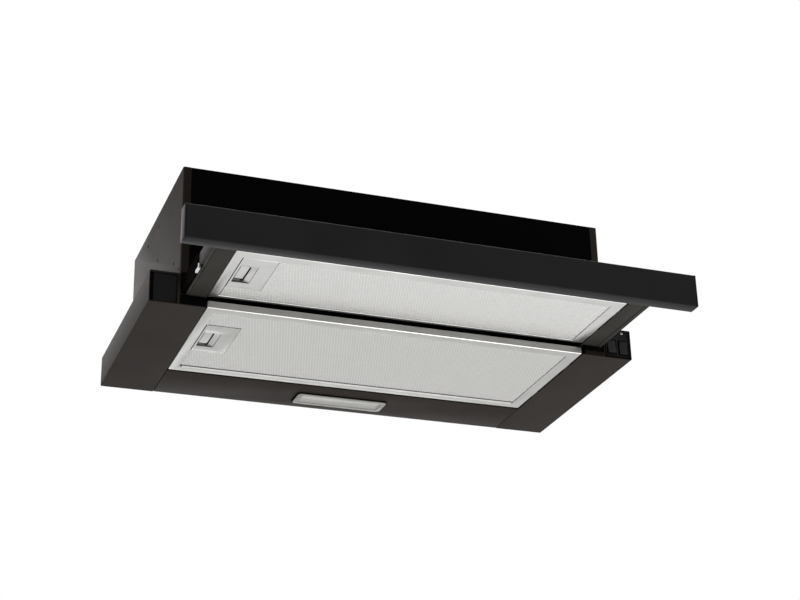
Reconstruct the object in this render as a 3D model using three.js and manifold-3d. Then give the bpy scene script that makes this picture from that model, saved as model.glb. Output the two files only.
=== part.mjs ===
// Pull out range hood for a 60 cm wall cabinet, drawn with its drawer pulled out.
// Millimetres, +Z up, +Y to the rear. The origin lies in the plane of the wings' tops, where the
// cabinet's underside bears, at mid width on the hood's front plane. The hood itself is drawn
// from its underside (z = 0) and hung from that plane by the outermost group.

import * as THREE from 'three';
import { mergeVertices } from 'three/addons/utils/BufferGeometryUtils.js';
import Module from 'manifold-3d';

const wasm = await Module();
wasm.setup();

// ---- Driving dimensions -------------------------------------------------------------------

const GAP = 0.3;               // between pieces that touch
const SHEET = 1;               // folded steel sheet
const OVERSHOOT = 1;           // how far a cutting tool runs past what it cuts

const HOOD_WIDTH = 598;
const WING_HEIGHT = 38.6;
const WING_OVERHANG = 35;      // each wing beyond the body's side wall
const LOWER_DEPTH = 269;
const REAR_STEP = 3;           // rear of the lower body behind the body's rear wall
const REAR_STRIP_DEPTH = 77.1; // underside behind the fixed filter
const BODY_TOP = 175;
const DRAWER_SLOT_HEIGHT = 40; // underside to the lower edge of the front panel
const FRONT_RETURN = 9.5;      // narrow front returns of the body's side walls
const PANEL_RETURN = 12;       // folded edges of the front and top panels
const FIXING_HOLE_RADIUS = 2.2;
const TOP_BEAD = {
  halfLength: 62, halfWidth: 7, corner: 6.5, height: 1.6, fromSide: 118, fromFront: 80, fromRear: 66,
};
const WING_TAB = 14;           // flange by which a wing hangs on the body's side wall
const WING_LIP_INSET = 4;      // bare end of a wing's front lip beside the filter
const LAP = { inside: 6, outside: 12, weld: 4, frontClearance: 14 };

const FILTER_FROM_BODY = 32;   // from the body's side wall to a filter's edge
const FILTER_THICKNESS = 9;
const FIXED_FILTER_FRONT = -0.7;
const DRAWER_FILTER_DEPTH = 121.5;
const FILTER_CLEARANCE = 1.2;  // between a filter and the opening that it drops into
const FILTER_FOIL = 0.8;       // rolled aluminium of the filter's frame
const FILTER_RIM = 14;
const MESH_FOIL = 0.5;         // outer foils of the expanded mesh pad
const FILTER_LATCH_RIM = 11;   // narrower rim on the latch side
const CUP_WIDTH = 40;
const CUP_LENGTH = 76;
const CUP_DEPTH = 5.4;
const CUP_FROM_FRONT_FIXED = 49;
const CUP_FROM_FRONT_DRAWER = 14.6;
const CUP_RIM_GAP = 1;          // between the latch side's rim and the cup
const CUP_SINK = 0.2;           // the cup's plate behind the filter's underside
const CUP_WELL = { left: 1.4, right: 23.4, start: 19.8, end: 63 };   // finger well in the plate
const FILTER_TAB = { reach: 5, halfWidth: 9, places: [0.25, 0.75] };
const LATCH_THICKNESS = 1.5;
const LATCH_WIDTH = 12;
const LATCH_FROM_CUP = 31;     // from the cup's front end to the bolt
const LATCH_GRIP = { from: 13.2, to: 15.2, start: 22, end: 54, height: 1.6 };
const LATCH_LEAF = { from: 2.9, thickness: 2, length: 6, end: 60 };
const LATCH_TRAVEL = 7;        // draws the bolt's tip back inside the frame's wall

const DRAWER_TRAVEL = 148;
const SLIDE_SPACE = 9.8;       // from the outside of the body's side wall to the drawer
const DRAWER_BOTTOM = 13.5;
const DRAWER_HEIGHT = 21;
const DRAWER_PLATE_REAR = 12;  // rear edge of the drawer's top plate, pulled out
const DRAWER_ARM = 45;         // how far the side arms reach behind the top plate
const DRAWER_ARM_FLANGE = 8;
const DRAWER_FLANGE_CLEARANCE = 1;

const FACADE_HEIGHT = 39.1;
const FACADE_BOTTOM = 0.7;
const FACADE_DEPTH = 17;
const FACADE_REAR = -149.4;    // rear plane of the facade with the drawer pulled out
const FACADE_WALL = 1.2;
const FACADE_TOP_LIP = 10;
const FACADE_BOTTOM_LIP = 15;
const FACADE_CAP = 1.6;
const FACADE_CAP_PLUG = 10;    // how far a cap's plug reaches into the bar

const SLIDE_LENGTH = 198;
const SLIDE_HEIGHT = 19;
const SLIDE_STEEL = 1;
const SLIDE_FRONT = 4;         // front end of the fixed slide members behind the front plane
const SLIDE_SCREW_INSET = 17;  // fixing holes from a member's ends
const SLIDE_STOP_INSET = 60;   // holes in the middle members
const BALL_GAP = 0.6;          // running space between nested slide members

const LIP_HEIGHT = 6.5;        // upturned front edge of a wing's bottom panel
const PLUG_RECESS = 2.4;       // wing cap and switch housing behind the front plane
const PLUG_WALL = 2;
const PLUG_DEPTH = 16;
const PLUG_BEZEL = 3;          // raised edge round the left cap's dished face

const ROCKER_WIDTH = 12;
const ROCKER_HEIGHT = 17;
const ROCKER_PITCH = 15.6;
const ROCKER_CENTRE_Z = 15.5;
const ROCKERS_FROM_SIDE = 17.4; // middle of the pair of rockers from the hood's right side
const ROCKER_SINK = 0.6;       // front of a rocker behind the front plane
const ROCKER_PIVOT_DEPTH = 5.2;
const ROCKER_PIN_RADIUS = 1.4;
const ROCKER_PIN_REACH = 1.4;  // pin ends beyond the rocker's sides
const ROCKER_CLEARANCE = 0.5;
const ROCKER_BACK = 60;        // degrees above and below the rear at which its round ends stop
const ROCKER_DIP = 1;          // hollow in the middle of its front
const WELL_WALL = 1.6;
const ROCKER_SWING = 8;        // degrees to each side
const LIGHT_ROCKER_REST = -ROCKER_SWING;

const LAMP_X = 2;
const LAMP_FROM_REAR = 32.3;
const LAMP_LENGTH = 118;
const LAMP_WIDTH = 34;
const LAMP_CORNER = 5;
const LAMP_RIM = 6.5;
const LAMP_HEIGHT = 11;
const LAMP_RECESS = 0.6;
const LAMP_FLANGE = { length: 4, width: 3, thickness: 1.4 };
const LENS = { recess: 0.6, thickness: 2 };
const LAMP_BACK = 1.5;         // back wall of the lamp's housing
const LED_BOARD = 1.6;
const LED_BOARD_WIDTH = 14;
const LED_BOARD_CLEARANCE = 2; // from the lamp's walls
const LED_CHIP = 5;
const LED_COUNT = 6;

const OUTLET_Y = 140;
const OUTLET_DIAMETER = 120;
const OUTLET_WALL = 1.5;
const OUTLET_HEIGHT = 30;
const OUTLET_FLANGE = 15;
const OUTLET_PLATE = 2;
const FLAP_THICKNESS = 1.2;
const FLAP_SEAT = 3;           // width and height of the ledge that a flap falls on
const FLAP_RIM_GAP = 1;        // between a flap and the collar's bore
const FLAP_SPLIT = 0.6;        // from the pin's axis to a flap's straight edge
const FLAP_BARREL_WALL = 1.6;
const KNUCKLE_GAP = 1;
const FLAP_PIN_RADIUS = 1.5;
const FLAP_PIN_HEIGHT = 12;    // above the top panel

const AXLE_Y = 126;
const AXLE_Z = 108;
const SCROLL_WALL = 2;
const SCROLL_HALF_WIDTH = 42;
const SCROLL_START_RADIUS = 49;
const SCROLL_END_RADIUS = 64;
const INLET_RADIUS = 37;
const INLET_BELL = { thickness: 4, reach: 3 };
const SCROLL_BOSS = { radius: 4.5, length: 12, offset: 3, angles: [195, 255, 320] };
const SCROLL_LIP = { reach: 8, thickness: 2.4 };
const IMPELLER_RADIUS = 44;
const IMPELLER_WIDTH = 73;
const BLADE_COUNT = 24;
const BLADE_DEPTH = 9;
const BLADE_THICKNESS = 1.2;
const BLADE_LEAN = 28;         // degrees that a blade leans forward over its depth
const BLADE_STEPS = 2;
const IMPELLER_RING = 3;
const HUB = { radius: 10, length: 28 };
const SHAFT_RADIUS = 4;
const SHAFT_FREE = 0.4;        // between the shaft and what turns or bears on it
const SHAFT_START = -20;       // its end inside the impeller's hub side
const MOTOR_RADIUS = 35;
const MOTOR_LENGTH = 42;
const MOTOR_STANDOFF = 8;      // from the scroll's side plate
const MOTOR_SHAFT_WAY = 30;    // depth of the shaft's way into the motor
const MOTOR_NOSE = { radius: 11, length: 4 };
const MOTOR_TAIL = { radius: 12, length: 5 };
const MOTOR_CHAMFER = 3;
const BRACKET = { hub: 20, reach: 50, thickness: 2, armWidth: 10, foot: 5, angles: [90, 210, 330] };
const CAPACITOR_RADIUS = 13;
const CAPACITOR_LENGTH = 58;
const CAPACITOR_X = -120;
const CAPACITOR_STUD = { radius: 4, length: 6 };
const CAPACITOR_CLIP = { drop: 4, width: 12, foot: 24 };
const TERMINAL_BOX = [62, 50, 30];
const TERMINAL_FROM_SIDE = 84;
const TERMINAL_FROM_REAR = 44;
const TERMINAL_WALL = 2;
const TERMINAL_PLUG = 4;       // how far the lid's skirt reaches into the box
const GLAND = { nut: 12, nutHeight: 7, nutBelow: 6, above: 14, below: 10 };
const GLAND_STEM_RADIUS = 8;
const GLAND_BORE_RADIUS = 4;
const DRIVER_BOX = [66, 28, 20];
const DRIVER_X = 130;
const DRIVER_FROM_REAR = 35;
const DRIVER_EAR = { reach: 8, thickness: 2.5, hole: 1.8 };

// ---- Derived dimensions -------------------------------------------------------------------

const HALF_HOOD = HOOD_WIDTH / 2;
const HALF_BODY = HALF_HOOD - WING_OVERHANG;
const HALF_DRAWER = HALF_BODY - SLIDE_SPACE;
const HALF_FILTER = HALF_BODY - FILTER_FROM_BODY;
const BODY_DEPTH = LOWER_DEPTH - REAR_STEP;
const LAMP_Y = LOWER_DEPTH - LAMP_FROM_REAR;
const DRIVER_CENTRE = [DRIVER_X, LOWER_DEPTH - DRIVER_FROM_REAR];
const TERMINAL_CENTRE = [HALF_BODY - TERMINAL_FROM_SIDE, BODY_DEPTH - TERMINAL_FROM_REAR];
const ROCKER_PAIR_X = HALF_HOOD - ROCKERS_FROM_SIDE;
const DRAWER_TOP = DRAWER_BOTTOM + DRAWER_HEIGHT;
const LEDGE_EDGE = HALF_FILTER + FILTER_CLEARANCE;
const REAR_STRIP_FRONT = LOWER_DEPTH - REAR_STRIP_DEPTH;
const FIXED_FILTER_REAR = REAR_STRIP_FRONT - FILTER_CLEARANCE;
const FIXED_FILTER_DEPTH = FIXED_FILTER_REAR - FIXED_FILTER_FRONT;
const DRAWER_FILTER_REAR = FIXED_FILTER_FRONT - FILTER_CLEARANCE;
const DRAWER_FILTER_FRONT = DRAWER_FILTER_REAR - DRAWER_FILTER_DEPTH;
const OUTLET_OUTER = OUTLET_DIAMETER / 2 - 0.5;
const OUTLET_INNER = OUTLET_OUTER - OUTLET_WALL;
const LATCH_UNDERSIDE = SHEET + GAP;
const LATCH_OVERHANG = LATCH_TRAVEL - FILTER_FOIL - 2 * GAP;
const CEILING = BODY_TOP - SHEET;

// ---- Finishes -----------------------------------------------------------------------------

function finish(color, roughness, metalness) {
  return { color, roughness, metalness };
}

const SATIN_BLACK = finish(0x24211f, 0.42, 0.3);
const GLOSS_BLACK = finish(0x050505, 0.08, 0.1);
const FACADE_BLACK = finish(0x222225, 0.38, 0.2);
const BLACK_PLASTIC = finish(0x161616, 0.5, 0);
const ALUMINIUM = finish(0xd4d4d0, 0.35, 0.9);
const MESH_ALUMINIUM = finish(0xc6c6c2, 0.5, 0.85);
const ZINC = finish(0xc9ccd0, 0.3, 0.9);
const WHITE_PLASTIC = finish(0xe6e6e2, 0.45, 0);
const LENS_PLASTIC = finish(0xf0efe8, 0.25, 0);
const GREEN_BOARD = finish(0x2f5a3a, 0.5, 0);
const GREY_PLASTIC = finish(0x8b8d8f, 0.5, 0);

// ---- Solids: making, joining and cutting --------------------------------------------------

function toSolid(geometry) {
  const bare = geometry.clone();
  bare.deleteAttribute('normal');
  bare.deleteAttribute('uv');
  const merged = mergeVertices(bare);
  return new wasm.Manifold(new wasm.Mesh({
    numProp: 3,
    vertProperties: new Float32Array(merged.attributes.position.array),
    triVerts: new Uint32Array(merged.index.array),
  }));
}

function toGeometry(solid) {
  const mesh = solid.getMesh();
  const geometry = new THREE.BufferGeometry();
  geometry.setAttribute('position', new THREE.BufferAttribute(mesh.vertProperties, 3));
  geometry.setIndex(new THREE.BufferAttribute(mesh.triVerts, 1));
  geometry.computeVertexNormals();
  return geometry;
}

function join(...geometries) {
  const [first, ...rest] = geometries.flat();
  return toGeometry(rest.reduce((solid, next) => solid.add(toSolid(next)), toSolid(first)));
}

function cut(geometry, ...tools) {
  return toGeometry(tools.flat().reduce((solid, tool) => solid.subtract(toSolid(tool)), toSolid(geometry)));
}

function keep(geometry, region) {
  return toGeometry(toSolid(geometry).intersect(toSolid(region)));
}

function block([x0, x1], [y0, y1], [z0, z1]) {
  const geometry = new THREE.BoxGeometry(x1 - x0, y1 - y0, z1 - z0);
  return geometry.translate((x0 + x1) / 2, (y0 + y1) / 2, (z0 + z1) / 2);
}

function toVectors(points) {
  return points.map((point) => (Array.isArray(point) ? new THREE.Vector2(...point) : point));
}

// The outline's two coordinates are the two axes that follow the prism's own: (y, z) along X,
// (x, z) along Y and (x, y) along Z.
function prism(axis, outline, from, to) {
  const shape = outline instanceof THREE.Shape ? outline : new THREE.Shape(toVectors(outline));
  const depth = to - from;
  const geometry = new THREE.ExtrudeGeometry(shape, { depth, bevelEnabled: false, curveSegments: 6 });
  const turn = new THREE.Matrix4();
  if (axis === 'x') {
    turn.makeBasis(new THREE.Vector3(0, 1, 0), new THREE.Vector3(0, 0, 1), new THREE.Vector3(1, 0, 0));
    return geometry.applyMatrix4(turn).translate(from, 0, 0);
  }
  if (axis === 'y') {
    turn.makeBasis(new THREE.Vector3(1, 0, 0), new THREE.Vector3(0, 0, 1), new THREE.Vector3(0, -1, 0));
    return geometry.applyMatrix4(turn).translate(0, to, 0);
  }
  return geometry.translate(0, 0, from);
}

function arc(radius, fromDegrees, toDegrees, steps, [u, v] = [0, 0]) {
  return Array.from({ length: steps + 1 }, (_, i) => {
    const angle = THREE.MathUtils.degToRad(fromDegrees + (toDegrees - fromDegrees) * i / steps);
    return new THREE.Vector2(u + radius * Math.cos(angle), v + radius * Math.sin(angle));
  });
}

function circle(radius, sides, centre) {
  return arc(radius, 0, 360, sides, centre).slice(0, -1);
}

function rod(axis, radius, from, to, centre = [0, 0], sides = 24) {
  return prism(axis, circle(radius, sides, centre), from, to);
}

function ring(axis, outer, inner, from, to, centre = [0, 0], sides = 48) {
  const shape = new THREE.Shape(circle(outer, sides, centre));
  shape.holes.push(new THREE.Path(circle(inner, sides, centre)));
  return prism(axis, shape, from, to);
}

function roundedRectangle(halfWidth, halfHeight, radius) {
  const corners = [[1, 1, 0], [-1, 1, 90], [-1, -1, 180], [1, -1, 270]];
  const outline = corners.flatMap(([u, v, start]) => arc(radius, start, start + 90, 4,
    [u * (halfWidth - radius), v * (halfHeight - radius)]));
  return outline;
}

// The outline of a folded sheet: its outer path, and the same path set in by the thickness to
// the left of the way it runs, mitred at each fold.
function foldedSheet(path, thickness) {
  const points = path.map(([u, v]) => new THREE.Vector2(u, v));
  const normals = points.slice(1).map((point, i) => {
    const along = point.clone().sub(points[i]).normalize();
    return new THREE.Vector2(-along.y, along.x);
  });
  const inner = points.map((point, i) => {
    const before = normals[Math.max(i - 1, 0)];
    const after = normals[Math.min(i, normals.length - 1)];
    const mitre = before.clone().add(after).divideScalar(1 + before.dot(after));
    return point.clone().addScaledVector(mitre, thickness);
  });
  return [...points, ...inner.reverse()];
}

function piece(name, look, geometry, position = [0, 0, 0], rotation = [0, 0, 0]) {
  const mesh = new THREE.Mesh(geometry, new THREE.MeshStandardMaterial(look));
  mesh.name = name;
  mesh.position.set(...position);
  mesh.rotation.set(...rotation);
  return mesh;
}

function group(children, position = [0, 0, 0]) {
  const assembly = new THREE.Group();
  assembly.add(...children);
  assembly.position.set(...position);
  return assembly;
}

// The mirror image in the plane x = 0, with its triangles wound the other way to face outwards.
function mirrored(geometry) {
  const twin = geometry.clone().scale(-1, 1, 1);
  twin.setIndex(Array.from(twin.index.array).reverse());
  twin.computeVertexNormals();
  return twin;
}

function ordered(...ends) {
  return ends.sort((a, b) => a - b);
}

function inset([low, high], by) {
  return [low + by, high - by];
}

// ---- Upper body ---------------------------------------------------------------------------

// Side wall holes as (y, z), the same on both sides: cabinet fixings and slide screws.
const SIDE_HOLES = [[183, 157.5], [124.6, 110.8], [35.3, 66.2], [124, 156.3], [12.2, 48.8]];

function upperShell() {
  const returnEdge = HALF_BODY - FRONT_RETURN;
  const plan = foldedSheet([
    [-returnEdge, 0], [-HALF_BODY, 0], [-HALF_BODY, BODY_DEPTH],
    [HALF_BODY, BODY_DEPTH], [HALF_BODY, 0], [returnEdge, 0],
  ].reverse(), SHEET);
  const shell = prism('z', plan, SHEET + GAP, BODY_TOP);
  const clear = HALF_BODY - SHEET;
  const slot = block([-clear, clear], [-OVERSHOOT, 2 * SHEET], [0, DRAWER_SLOT_HEIGHT]);
  const holes = SIDE_HOLES.map((at) => rod('x', FIXING_HOLE_RADIUS,
    -HALF_BODY - OVERSHOOT, HALF_BODY + OVERSHOOT, at, 8));
  const lipNotch = block([-HALF_HOOD, HALF_HOOD], [-OVERSHOOT, SHEET + GAP], [0, LIP_HEIGHT + GAP]);
  return piece('upper_shell', SATIN_BLACK, cut(shell, slot, lipNotch, holes));
}

function frontPanel() {
  const halfWidth = HALF_BODY - FRONT_RETURN - GAP;
  const section = foldedSheet([
    [PANEL_RETURN, DRAWER_SLOT_HEIGHT], [0, DRAWER_SLOT_HEIGHT], [0, BODY_TOP],
  ].reverse(), SHEET);
  return piece('front_panel', GLOSS_BLACK, prism('x', section, -halfWidth, halfWidth));
}

function topPanel() {
  const halfWidth = HALF_BODY - SHEET - GAP;
  const front = SHEET + GAP;
  const rear = BODY_DEPTH - SHEET - GAP;
  const inside = halfWidth - SHEET;
  const lid = block([-halfWidth, halfWidth], [front, rear], [BODY_TOP - PANEL_RETURN, BODY_TOP]);
  const hollow = block([-inside, inside], [front + SHEET, rear - SHEET],
    [BODY_TOP - PANEL_RETURN - OVERSHOOT, CEILING]);
  const outlet = rod('z', OUTLET_INNER, CEILING - OVERSHOOT, BODY_TOP + OVERSHOOT, [0, OUTLET_Y], 48);
  const gland = rod('z', GLAND_STEM_RADIUS + GAP, CEILING - OVERSHOOT, BODY_TOP + OVERSHOOT,
    TERMINAL_CENTRE, 16);
  const bead = prism('z', roundedRectangle(TOP_BEAD.halfLength, TOP_BEAD.halfWidth, TOP_BEAD.corner),
    CEILING, BODY_TOP + TOP_BEAD.height);
  const beadX = HALF_BODY - TOP_BEAD.fromSide;
  const beads = [-beadX, beadX].flatMap((x) => [TOP_BEAD.fromFront, BODY_DEPTH - TOP_BEAD.fromRear]
    .map((y) => bead.clone().translate(x, y, 0)));
  return piece('top_panel', SATIN_BLACK, cut(join(lid, beads), hollow, outlet, gland));
}

// ---- Lower body: wings, rear strip, wing cap -----------------------------------------------

// The left wing; the right one is its mirror image.
function wingGeometry() {
  const tab = HALF_BODY + GAP;
  const section = foldedSheet([
    [-LEDGE_EDGE, 0], [-HALF_HOOD, 0], [-HALF_HOOD, WING_HEIGHT], [-tab, WING_HEIGHT],
    [-tab, WING_HEIGHT - WING_TAB],
  ].reverse(), SHEET);
  const tube = prism('y', section, 0, LOWER_DEPTH);
  const rear = block([-HALF_HOOD + SHEET / 2, -LEDGE_EDGE], [LOWER_DEPTH - SHEET, LOWER_DEPTH],
    [SHEET / 2, WING_HEIGHT - SHEET / 2]);
  const innerLip = block([-HALF_BODY + SHEET + GAP, -LEDGE_EDGE - WING_LIP_INSET], [0, SHEET],
    [SHEET / 2, LIP_HEIGHT]);
  return join(tube, rear, innerLip);
}

function rearStrip() {
  const halfWidth = LEDGE_EDGE - GAP;
  const section = foldedSheet([
    [REAR_STRIP_FRONT, FILTER_THICKNESS], [REAR_STRIP_FRONT, 0], [LOWER_DEPTH, 0],
    [LOWER_DEPTH, WING_HEIGHT],
  ], SHEET);
  const lapY = [REAR_STRIP_FRONT + LAP.frontClearance, BODY_DEPTH - 2 * SHEET];
  const inside = halfWidth - LAP.inside;
  const lap = block([inside, halfWidth + LAP.outside], lapY, [SHEET + GAP, 2 * SHEET + GAP]);
  const weld = block([inside, inside + LAP.weld], lapY, [SHEET / 2, 1.5 * SHEET + GAP]);
  const rightLap = join(lap, weld);
  const laps = [rightLap, mirrored(rightLap)];
  const window = prism('z', roundedRectangle(LAMP_LENGTH / 2 + GAP, LAMP_WIDTH / 2 + GAP, LAMP_CORNER),
    -OVERSHOOT, SHEET + OVERSHOOT).translate(LAMP_X, LAMP_Y, 0);
  const strip = join(prism('x', section, -halfWidth, halfWidth), laps);
  return piece('rear_strip', SATIN_BLACK, cut(strip, window));
}

// A plastic plug in the open front of a wing: a plate with a skirt, drawn about the left wing.
const PLUG = {
  x: [-HALF_HOOD + SHEET + GAP, -HALF_BODY - 2 * SHEET],
  z: [SHEET + GAP, WING_HEIGHT - SHEET - GAP],
};

function plugGeometry() {
  const solid = block(PLUG.x, [PLUG_RECESS, PLUG_RECESS + PLUG_DEPTH], PLUG.z);
  const hollow = block(inset(PLUG.x, PLUG_WALL),
    [PLUG_RECESS + PLUG_WALL, PLUG_RECESS + PLUG_DEPTH + OVERSHOOT], inset(PLUG.z, PLUG_WALL));
  return cut(solid, hollow);
}

function leftWingCap() {
  const dish = block(inset(PLUG.x, PLUG_BEZEL), [0, PLUG_RECESS + PLUG_WALL / 2], inset(PLUG.z, PLUG_BEZEL));
  return piece('left_wing_cap', BLACK_PLASTIC, cut(plugGeometry(), dish));
}

// ---- Switches -----------------------------------------------------------------------------

const ROCKER_PIVOT_Y = ROCKER_SINK + ROCKER_PIVOT_DEPTH;
const ROCKER_RADIUS = Math.hypot(ROCKER_PIVOT_DEPTH, ROCKER_HEIGHT / 2);
const ROCKERS = [
  { name: 'light_rocker', x: ROCKER_PAIR_X - ROCKER_PITCH / 2, rest: LIGHT_ROCKER_REST },
  { name: 'speed_rocker', x: ROCKER_PAIR_X + ROCKER_PITCH / 2, rest: 0 },
];

function switchHousing() {
  const wellRadius = ROCKER_RADIUS + ROCKER_CLEARANCE;
  const halfWidth = ROCKER_WIDTH / 2 + ROCKER_CLEARANCE;
  const barrel = [ROCKERS[0].x - halfWidth - PLUG_WALL, ROCKERS[1].x + halfWidth + PLUG_WALL];
  const well = ([from, to], extra) => keep(
    rod('x', wellRadius + extra, from, to, [ROCKER_PIVOT_Y, ROCKER_CENTRE_Z], 32),
    block([from, to], [PLUG_RECESS - OVERSHOOT + extra, PLUG_DEPTH + PLUG_RECESS], [0, WING_HEIGHT]));
  const plate = [[-PLUG.x[1], -PLUG.x[0]], PLUG.z].map((span) => inset(span, PLUG_WALL / 2));
  const barrels = keep(well(barrel, WELL_WALL),
    block(plate[0], [PLUG_RECESS, PLUG_DEPTH + PLUG_RECESS], plate[1]));
  const wells = ROCKERS.map(({ x }) => well([x - halfWidth, x + halfWidth], 0));
  const pinWays = ROCKERS.map(({ x }) => rod('x', ROCKER_PIN_RADIUS + GAP,
    x - ROCKER_WIDTH / 2 - ROCKER_PIN_REACH - GAP, x + ROCKER_WIDTH / 2 + ROCKER_PIN_REACH + GAP,
    [ROCKER_PIVOT_Y, ROCKER_CENTRE_Z], 12));
  return piece('switch_housing', BLACK_PLASTIC, cut(join(mirrored(plugGeometry()), barrels), wells, pinWays));
}

// A rocker's side view about its pivot: round ends, and a front that dips in the middle.
function rockerGeometry() {
  const tip = THREE.MathUtils.radToDeg(Math.atan2(ROCKER_HEIGHT / 2, -ROCKER_PIVOT_DEPTH));
  const dip = new THREE.Vector2(-ROCKER_PIVOT_DEPTH + ROCKER_DIP, 0);
  const outline = [
    ...arc(ROCKER_RADIUS, -tip, -ROCKER_BACK, 5), ...arc(ROCKER_RADIUS, ROCKER_BACK, tip, 5), dip,
  ];
  const pinReach = ROCKER_WIDTH / 2 + ROCKER_PIN_REACH;
  return join(prism('x', outline, -ROCKER_WIDTH / 2, ROCKER_WIDTH / 2),
    rod('x', ROCKER_PIN_RADIUS, -pinReach, pinReach, [0, 0], 12));
}

function rockers() {
  return ROCKERS.map(({ name, x, rest }) => piece(name, BLACK_PLASTIC, rockerGeometry(),
    [x, ROCKER_PIVOT_Y, ROCKER_CENTRE_Z], [THREE.MathUtils.degToRad(rest), 0, 0]));
}

// ---- Grease filters -----------------------------------------------------------------------

// One filter, drawn from its front edge (y = 0) and underside (z = 0). Its tabs hook over the
// right-hand ledge and its latch bolt over the left-hand one.
function greaseFilter(prefix, depth, cupFromFront, position) {
  const rimEdge = (side) => side * HALF_FILTER;
  const cupLeft = -HALF_FILTER + FILTER_LATCH_RIM + CUP_RIM_GAP;
  const cupX = [cupLeft, cupLeft + CUP_WIDTH];
  const cupY = [cupFromFront, cupFromFront + CUP_LENGTH];
  const boltFront = cupFromFront + LATCH_FROM_CUP;
  const boltY = [boltFront, boltFront + LATCH_WIDTH];
  const boltZ = [LATCH_UNDERSIDE, LATCH_UNDERSIDE + LATCH_THICKNESS];
  const slotZ = [boltZ[0] - GAP, boltZ[1] + GAP];
  const slotY = [boltY[0] - GAP, boltY[1] + GAP];

  const body = block([rimEdge(-1), rimEdge(1)], [0, depth], [0, FILTER_THICKNESS]);
  const channel = block([rimEdge(-1) + FILTER_FOIL, rimEdge(1) - FILTER_FOIL],
    [FILTER_FOIL, depth - FILTER_FOIL], [FILTER_FOIL, FILTER_THICKNESS - FILTER_FOIL]);
  const window = block([rimEdge(-1) + FILTER_LATCH_RIM, rimEdge(1) - FILTER_RIM],
    [FILTER_RIM, depth - FILTER_RIM], [-OVERSHOOT, FILTER_THICKNESS + OVERSHOOT]);
  const boltSlot = block([rimEdge(-1) - OVERSHOOT, rimEdge(-1) + FILTER_FOIL + OVERSHOOT], slotY, slotZ);
  const tabs = FILTER_TAB.places.map((share) => block(
    [rimEdge(1) - FILTER_FOIL / 2, rimEdge(1) + FILTER_TAB.reach],
    [depth * share - FILTER_TAB.halfWidth, depth * share + FILTER_TAB.halfWidth],
    [LATCH_UNDERSIDE, LATCH_UNDERSIDE + FILTER_FOIL]));
  const frame = join(cut(body, channel, window, boltSlot), tabs);

  const padInset = FILTER_FOIL + GAP;
  const pad = block([rimEdge(-1) + padInset, rimEdge(1) - padInset], [padInset, depth - padInset],
    [padInset, FILTER_THICKNESS - padInset]);
  const padHollow = block(inset([rimEdge(-1), rimEdge(1)], padInset + MESH_FOIL),
    inset([0, depth], padInset + MESH_FOIL),
    inset([padInset, FILTER_THICKNESS - padInset], MESH_FOIL));
  const cupHole = block(inset(cupX, -GAP), inset(cupY, -GAP), [-OVERSHOOT, FILTER_THICKNESS]);
  const boltWay = block([rimEdge(-1), cupX[0]], inset(slotY, -GAP), [-OVERSHOOT, FILTER_THICKNESS]);
  const meshPad = cut(pad, padHollow, cupHole, boltWay);

  const wall = FILTER_FOIL;
  const floor = padInset + CUP_DEPTH;
  const wellX = [cupX[0] + CUP_WELL.left, cupX[0] + CUP_WELL.right];
  const wellY = [cupFromFront + CUP_WELL.start, cupFromFront + CUP_WELL.end];
  const plate = block(cupX, cupY, [CUP_SINK, CUP_SINK + wall]);
  const well = block(wellX, wellY, [CUP_SINK, floor + wall]);
  const hollow = block(inset(wellX, wall), inset(wellY, wall), [0, floor]);
  const wellSlot = block([wellX[0] - OVERSHOOT, wellX[0] + wall + OVERSHOOT], slotY, slotZ);
  const cup = cut(join(plate, well), hollow, wellSlot);

  const gripX = [cupX[0] + LATCH_GRIP.from, cupX[0] + LATCH_GRIP.to];
  const leafEnd = cupFromFront + LATCH_LEAF.end;
  const bolt = block([rimEdge(-1) - LATCH_OVERHANG, gripX[1]], boltY, boltZ);
  const grip = block(gripX, [cupFromFront + LATCH_GRIP.start, cupFromFront + LATCH_GRIP.end],
    [padInset / 2, boltZ[1] + LATCH_GRIP.height]);
  const leaf = block([cupX[0] + LATCH_LEAF.from, gripX[1]], [leafEnd - LATCH_LEAF.length, leafEnd], boltZ);
  const stem = block([gripX[1] - LATCH_LEAF.thickness, gripX[1]], [boltY[1], leafEnd], boltZ);
  const latch = join(bolt, grip, leaf, stem);

  return group([
    piece(`${prefix}_frame`, ALUMINIUM, frame),
    piece(`${prefix}_mesh`, MESH_ALUMINIUM, meshPad),
    piece(`${prefix}_cup`, ALUMINIUM, cup),
    piece(`${prefix}_latch`, ALUMINIUM, latch),
  ], position);
}

// ---- Drawer -------------------------------------------------------------------------------

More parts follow.
